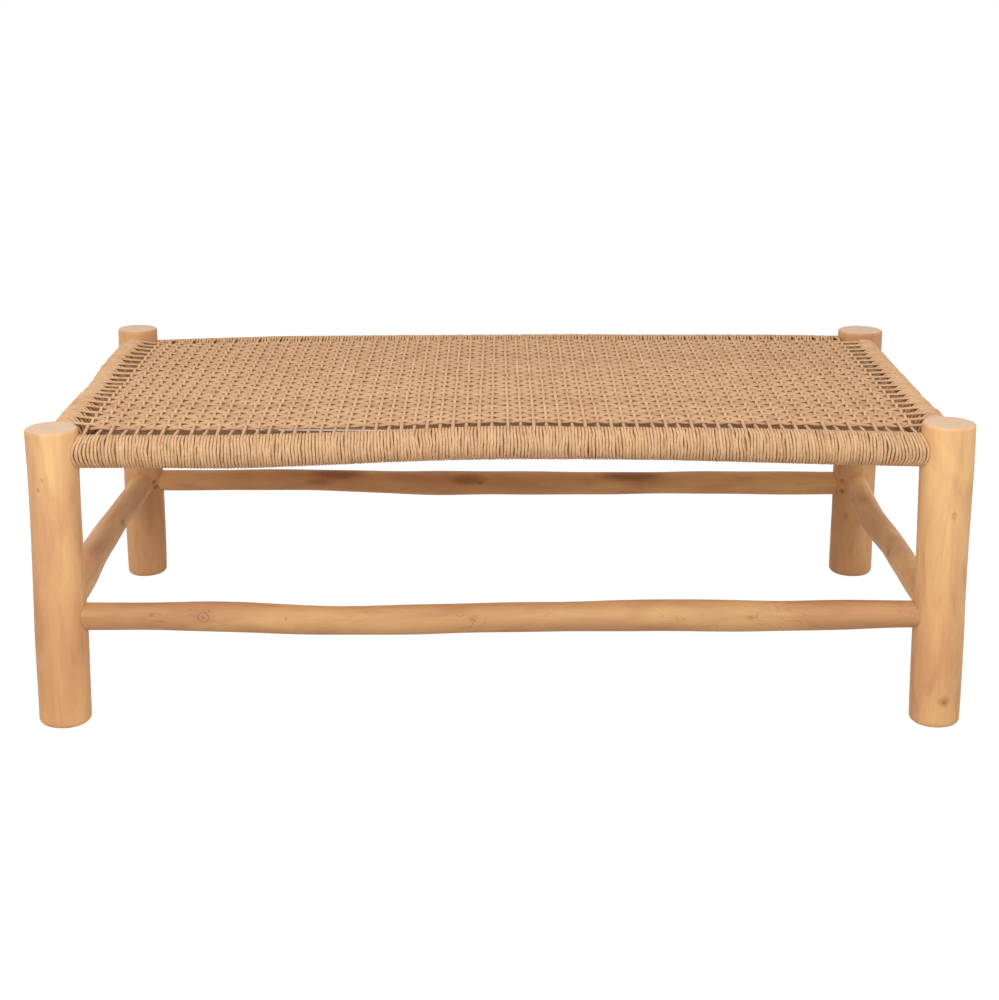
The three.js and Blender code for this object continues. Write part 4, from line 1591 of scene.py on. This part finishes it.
    def rise(self, begin: Array, inward: float, end: Array) -> Course:
        """Cords' stretch from under a rail up to the first warp, ends left out.

        A cubic that leaves the rail along its turn and arrives level: begin, end and the slopes
        there, as long as the straight distance, each times its usual cubic weight.

        Args:
            begin: where each cord leaves its turn.
            inward: 1 if inward is to the right, -1 if it is to the left.
            end: the first crossing's place.

        Returns:
            The course, whose way out turns from the rail's to up.
        """
        t = np.linspace(0, 1, self.rise_steps + 2)[1:-1][None, :, None]
        reach = np.linalg.norm(end - begin, axis=-1)[:, None, None]
        angle = math.radians(self.weft_rise)
        leave = np.array([-math.sin(angle) * inward, 0.0, math.cos(angle)]) * self.leave_pull
        arrive = np.array([inward, 0.0, 0.0]) * self.arrive_pull
        start_weight, end_weight = 2 * t**3 - 3 * t**2 + 1, 3 * t**2 - 2 * t**3
        slopes = (t**3 - 2 * t**2 + t) * leave + (t**3 - t**2) * arrive
        path = start_weight * begin[:, None] + end_weight * end[:, None] + slopes * reach
        leave_out = np.array([math.cos(angle) * inward, 0.0, math.sin(angle)])
        return Course(path, np.broadcast_to(unit(blend(leave_out, np.array(UPWARD), t)), path.shape))

    def weft_end(self, side: str, rows: Array, member: int, middle: Array) -> Course:
        """The wefts' stretch between one short rail and the nearest warp, out from the rail.

        Args:
            side: left or right.
            rows: the rows' numbers, all of which leave the rail the same way.
            member: -1 for the pair's front cord, 1 for its back one.
            middle: the stretch that it joins, nearest crossing first.

        Returns:
            The course.
        """
        winding = self.windings[side]
        along = self.ends[side][rows, (member + 1) // 2]
        if self.leaving(side, int(rows[0])) is Leaving.OVER:
            degrees = np.linspace(self.bottom_angle, self.top_angle, self.arc_steps)[None, :]
            arc = winding.ring(along[:, None], degrees)
            return arc.then(self.bridge(arc.path[:, -1], middle[:, 0]))
        arc = winding.arc(along, self.weft_tuck, self.weft_rise, self.long_arc_steps)
        return arc.then(self.rise(arc.path[:, -1], winding.rail.side.inward, middle[:, 0]))

    def wefts(self, parity: int, member: int) -> Skin:
        """One cord of the pairs of every other row, each from rail to rail.

        Args:
            parity: 0 for the even rows, 1 for the odd ones.
            member: -1 for the pairs' front cords, 1 for their back ones.

        Returns:
            Their skin.
        """
        rows = np.arange(parity, ROWS, 2)
        middle = self.weft_middle(rows, member)
        left = self.weft_end("left", rows, member, middle)
        right = self.weft_end("right", rows, member, middle[:, ::-1])
        tone = self.tones[WARPS + 2 * rows + (member + 1) // 2]
        course = left.then(Course.facing(middle), right.back())
        return sweep(course, BACKWARD, tone[:, None], *self.weft_halves)

    def returns(self) -> Skin:
        """The cords that return under the top, each from the right rail to a row further back on the left.

        They lie side by side, a little unevenly, and a few are missing near the front.

        Returns:
            Their skin.
        """
        rng = np.random.default_rng(self.return_seed)
        row = (self.row_high - self.row_low) / (ROWS - 1)
        first, last = (row * share for share in self.lower_ahead)
        from_y = np.linspace(self.row_low - first, self.row_high - last, self.lower_cords)
        from_y = np.delete(from_y, self.lower_missing)
        bottom = np.full(len(from_y), self.bottom_angle)
        begin = self.windings["right"].ring(from_y, bottom).path
        end = self.windings["left"].ring(from_y + row, bottom).path
        share = np.linspace(0, 1, self.lower_steps)[None, :]
        path = blend(begin[:, None], end[:, None], share[..., None])
        stray = rng.standard_normal((2, len(from_y), 1)) * np.sin(math.pi * share)
        path[..., 1:] += self.lower_stray * np.moveaxis(stray, 0, -1)
        tone = rng.random(len(path))[:, None]
        return sweep(Course.facing(path, DOWNWARD), BACKWARD, tone, *self.lower_halves)


def settle(piece: bpy.types.Object, finish: bpy.types.Material, slot: str, *nodes: str) -> None:
    """Dresses a piece, rides it on the table's body, and lets it stand for its CAD nodes.

    Args:
        piece: the new piece.
        finish: its material.
        slot: the record's material slot; not used.
        nodes: the CAD nodes that it stands for.
    """
    piece.data.materials.clear()
    piece.data.materials.append(finish)
    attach(piece, BODY)
    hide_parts(*nodes)
    LOG.info("%s: %d faces, stands for %s", piece.name, len(piece.data.polygons), ", ".join(nodes))


@dataclass
class Joinery:
    """The frame's wood: legs with mortises, rails and stretchers with tenons, and their pegs."""

    # Colours that the wood is multiplied by, and how strongly the marks of the old bark show.
    # The rear legs' darker tops and the front stretcher's darker tone are painted shade, and the
    # front legs are darker towards the foot.
    TOP_TONES_AND_SHADE = {
        "front_left": WHITE, "front_right": (0.98, 0.97, 0.96),
        "rear_left": (0.78, 0.70, 0.70), "rear_right": (0.80, 0.72, 0.70),
    }
    FOOT_TONES = {
        "front_left": (0.88, 0.82, 0.78), "front_right": (0.86, 0.80, 0.76),
        "rear_left": (1.0, 0.97, 0.94), "rear_right": (0.94, 0.90, 0.86),
    }
    BARE_TONES_AND_SHADE = {
        "front": (0.70, 0.64, 0.60), "rear": (1.0, 0.94, 0.89),
        "left": (0.96, 0.93, 0.93), "right": (1.0, 0.98, 0.98),
    }
    CRACKLED = {"front": 0.5, "rear": 0.15, "left": 0.3, "right": 0.3}
    # Painted shade: the seat rails' wood, seen between the turns of their windings, is darkened
    wrapped_shade: Colour = (0.5, 0.42, 0.36)
    hole_sides: int = 24

    def drill(self, piece: bpy.types.Object, cutters: Iterable[Skin]) -> None:
        """Cuts mortises and peg holes out of a leg.

        Args:
            piece: the leg.
            cutters: closed skins to take away.
        """
        for skin in cutters:
            cutter = skin.make("cutter")
            cut = piece.modifiers.new("hole", "BOOLEAN")
            cut.operation, cut.solver, cut.object = "DIFFERENCE", "EXACT", cutter
            graph = bpy.context.evaluated_depsgraph_get()
            mesh = bpy.data.meshes.new_from_object(piece.evaluated_get(graph))
            piece.modifiers.clear()
            piece.data = mesh
            bpy.data.objects.remove(cutter)
        piece.data.set_sharp_from_angle(angle=math.radians(SHARP))

    def hole(self, side: Side, begin: tuple, end: tuple, radius: float) -> Skin:
        """A round bar to cut with, across or along one side.

        Args:
            side: the side whose frame is used.
            begin: where the bar begins, as across, along and up.
            end: where it ends.
            radius: its radius.

        Returns:
            The bar's skin.
        """
        angle = corners_round(self.hole_sides)
        section = [radius * np.cos(angle), radius * np.sin(angle)]
        section.insert(1 if begin[0] == end[0] else 0, 0 * angle)
        local = np.array([begin, end])[:, None] + np.stack(section, -1)
        return shell(side.place(local[..., 0], local[..., 1], local[..., 2]))

    def holes(self, leg: Leg) -> list[Skin]:
        """The mortises and peg holes of one leg.

        Args:
            leg: the leg.

        Returns:
            The skins to cut with.
        """
        found = []
        for branch in (*SEAT_RAILS.values(), *STRETCHERS.values()):
            side = branch.side
            for end in (end for end in (-1, 1) if leg is side.leg(end)):
                leg_at = end * side.span / 2
                across, up = float(branch.across(leg_at)), float(branch.up(leg_at))
                near = leg_at - end * (Branch.tenon + Branch.mortise_wall - FIT_GAP)
                far = leg_at - end * (leg.radius + Branch.tenon)
                found.append(self.hole(side, (across, near, up), (across, far, up), Branch.tenon + FIT_GAP))
                along, peg_up, outer, inner = Peg(branch, end).line()
                first, last = side.inward * (inner - FIT_GAP), side.inward * (outer + leg.radius)
                ends = (first, along, peg_up), (last, along, peg_up)
                found.append(self.hole(side, *ends, Peg.radius + FIT_GAP))
        return found

    def branch(self, branch: Branch, tone: Colour, crackled: float = 0.0) -> None:
        """Makes one rail or stretcher.

        Args:
            branch: its shape.
            tone: the colour that its wood is multiplied by, which is painted shade on the seat rails and the
                front stretcher.
            crackled: how strongly the marks of the old bark show.
        """
        finish = TeakFinish(
            f"teak_{branch.name}", branch.seed, branch.radius, branch.knots, tone=tone, crackled=crackled
        )
        piece = branch.skin().make(f"{branch.name}_log", SHARP)
        settle(piece, finish.build(), "teak", branch.name)

    def build(self) -> None:
        """Makes all the wood and gives each piece its finish and its place in the frame."""
        for corner, leg in LEGS.items():
            node = f"{corner}_leg"
            piece = leg.skin().make(f"{node}_log")
            self.drill(piece, self.holes(leg))
            looks = (leg.x, leg.y), self.TOP_TONES_AND_SHADE[corner], self.FOOT_TONES[corner]
            finish = TeakFinish(f"teak_{node}", leg.seed, leg.radius, leg.knots, *looks)
            settle(piece, finish.build(), "teak", node)
        for name in SIDES:
            self.branch(SEAT_RAILS[name], self.wrapped_shade)
            self.branch(STRETCHERS[name], self.BARE_TONES_AND_SHADE[name], self.CRACKLED[name])
        peg_finish = PegFinish().build()
        for kind, some in (("rail", SEAT_RAILS), ("stretcher", STRETCHERS)):
            for name, branch in some.items():
                for end, word in zip((-1, 1), branch.side.ends):
                    node = f"{name}_{kind}_peg_{word}"
                    piece = Peg(branch, end).skin().make(f"{node}_pin", Peg.sharp)
                    settle(piece, peg_finish, "peg_wood", node)


@dataclass
class Seat:
    """All the cord: the windings of the four seat rails and the weave between them."""

    rail_cord: CordFinish = CordFinish("rail_cord", lit(234, 196, 152), lit(216, 173, 129), lit(170, 123, 84))
    woven_cord: CordFinish = CordFinish(
        "woven_cord", lit(240, 200, 160), lit(208, 163, 122), lit(164, 117, 80), painted_shade_share=0.6
    )
    # Painted light: the returning cords under the top are painted paler than the woven cord, with no painted
    # shade
    lower_cord: CordFinish = CordFinish(
        "lower_cord", lit(244, 210, 174), lit(232, 190, 151), lit(200, 152, 115), painted_shade_share=0.0
    )

    SEEDS = {"front": 41, "rear": 43, "left": 45, "right": 47}

    def build(self) -> None:
        """Makes all the cord and gives each piece its finish and its place in the frame."""
        windings = {name: Winding(SEAT_RAILS[name], seed) for name, seed in self.SEEDS.items()}
        weave = Weave(windings)
        rail_cord = self.rail_cord.build()
        for name, winding in windings.items():
            piece = winding.turns().make(f"{name}_rail_winding")
            ends = [f"{name}_rail_end_turns_{word}" for word in winding.rail.side.ends]
            settle(piece, rail_cord, "rail_cord", f"{name}_rail_wrap", *ends)
        woven_cord = self.woven_cord.build()
        for parity, word in enumerate(("even", "odd")):
            settle(weave.warps(parity).make(f"{word}_warp_cords"), woven_cord, "woven_cord", "woven_top")
            for member, place in ((-1, "fore"), (1, "aft")):
                piece = weave.wefts(parity, member).make(f"{word}_rows_{place}_cords")
                settle(piece, woven_cord, "woven_cord", "woven_top")
        piece = weave.returns().make("returning_cords")
        settle(piece, self.lower_cord.build(), "lower_cord", "lower_cord_layer")


@dataclass(frozen=True)
class SoftBox:
    """A lamp: its name, where it stands, its width and height, and its power in watts."""

    name: str
    place: Place
    size: tuple[float, float]
    power: float

    def build(self, aim: Vector) -> None:
        """Makes the lamp, turned to a place.

        Args:
            aim: the place that it faces.
        """
        data = bpy.data.lights.new(self.name, "AREA")
        data.shape, data.energy = "RECTANGLE", self.power
        data.size, data.size_y = self.size
        made = linked(self.name, data)
        made.location = self.place
        made.rotation_euler = (aim - Vector(self.place)).to_track_quat("-Z", "Y").to_euler()


@dataclass
class Studio:
    """Camera, floor, lamps and surroundings."""

    # The camera, as a frame of 999 by 1000 pixels
    focal_pixels: float = 1897.0
    long_side_pixels: float = 1000.0
    principal_y_pixels: float = 350.0
    sensor: float = 36.0
    eye: Place = (-0.006, -2.616, 0.996)
    pitch_down: float = 12.23
    yaw_right: float = 0.13

    floor_reach: float = 12.0
    floor_drop: float = 0.0002
    floor_bounce: Colour = (0.62, 0.59, 0.56)
    floor_shadow: Colour = (0.14, 0.14, 0.14)
    floor_glow: float = 0.955
    fill: float = 0.5
    fill_colour: Colour = (1.0, 0.985, 0.965)
    aim: Place = (0.0, 0.0, 0.25)
    lamps: tuple[SoftBox, ...] = (
        SoftBox("soft_box_front", (-0.25, -2.4, 1.7), (3.4, 1.2), 44.5),
        SoftBox("soft_box_top", (-0.1, -1.5, 2.8), (2.6, 1.4), 17.0),
        SoftBox("soft_box_left", (-2.4, 0.3, 1.3), (1.0, 1.4), 7.0),
        SoftBox("soft_box_right", (2.4, 0.1, 1.0), (1.0, 1.4), 5.0),
    )

    def camera(self) -> None:
        """Sets the camera at the photograph's viewing angle."""
        data = bpy.data.cameras.new("camera")
        data.sensor_width = self.sensor
        data.lens = self.focal_pixels * self.sensor / self.long_side_pixels
        data.shift_y = (self.principal_y_pixels - self.long_side_pixels / 2) / self.long_side_pixels
        made = linked("camera", data)
        made.location = self.eye
        made.rotation_euler = (math.radians(90 - self.pitch_down), 0.0, -math.radians(self.yaw_right))
        bpy.context.scene.camera = made

    @staticmethod
    def end(graph: Graph, output: str, lighting: Value, seen: Value) -> None:
        """Ends a tree in two shaders, of which one lights the table and the other is seen.

        Args:
            graph: the node tree.
            output: the type of its output node.
            lighting: the shader for rays that bounce.
            seen: the shader for rays from the camera, also mirrored or through glass.
        """
        rays = [
            graph.value("ShaderNodeLightPath", output=f"Is {kind} Ray")
            for kind in ("Camera", "Glossy", "Transmission")
        ]
        direct = rays[0].most(rays[1]).most(rays[2])
        mixed = graph.value("ShaderNodeMixShader", None, {0: direct, 1: lighting, 2: seen})
        graph.node(output, None, {"Surface": mixed})

    def floor(self) -> None:
        """A wide white floor that keeps a soft shadow."""
        far, low = self.floor_reach, -self.floor_drop
        mesh = bpy.data.meshes.new("floor")
        corners = [(-far, -far, low), (far, -far, low), (far, far, low), (-far, far, low)]
        mesh.from_pydata(corners, [], [(0, 1, 2, 3)])
        material = bpy.data.materials.new("studio_floor")
        graph = Graph(material)
        bounce = graph.value("ShaderNodeBsdfDiffuse", None, {"Color": self.floor_bounce})
        faint = graph.value("ShaderNodeBsdfDiffuse", None, {"Color": self.floor_shadow})
        glow = graph.value("ShaderNodeEmission", None, {"Color": WHITE, "Strength": self.floor_glow})
        seen = graph.value("ShaderNodeAddShader", None, {0: faint, 1: glow})
        self.end(graph, "ShaderNodeOutputMaterial", bounce, seen)
        mesh.materials.append(material)
        linked("floor", mesh)

    def surroundings(self) -> None:
        """Even light from all round, and plain white where the camera looks past the table."""
        world = bpy.data.worlds.new("surroundings")
        bpy.context.scene.world = world
        graph = Graph(world)
        fill = graph.value("ShaderNodeBackground", None, {"Color": self.fill_colour, "Strength": self.fill})
        white = graph.value("ShaderNodeBackground", None, {"Color": WHITE, "Strength": 1.0})
        self.end(graph, "ShaderNodeOutputWorld", fill, white)

    def build(self) -> None:
        """Sets up all of it but the camera."""
        bpy.context.scene.view_settings.view_transform = "Standard"
        self.floor()
        self.surroundings()
        for lamp in self.lamps:
            lamp.build(Vector(self.aim))


def main() -> None:
    """Builds the camera, the wood, the cord and the studio in order."""
    logging.basicConfig(level=logging.INFO, format="%(message)s")
    studio = Studio()
    studio.camera()
    Joinery().build()
    Seat().build()
    studio.build()


if __name__ == "__main__":
    main()
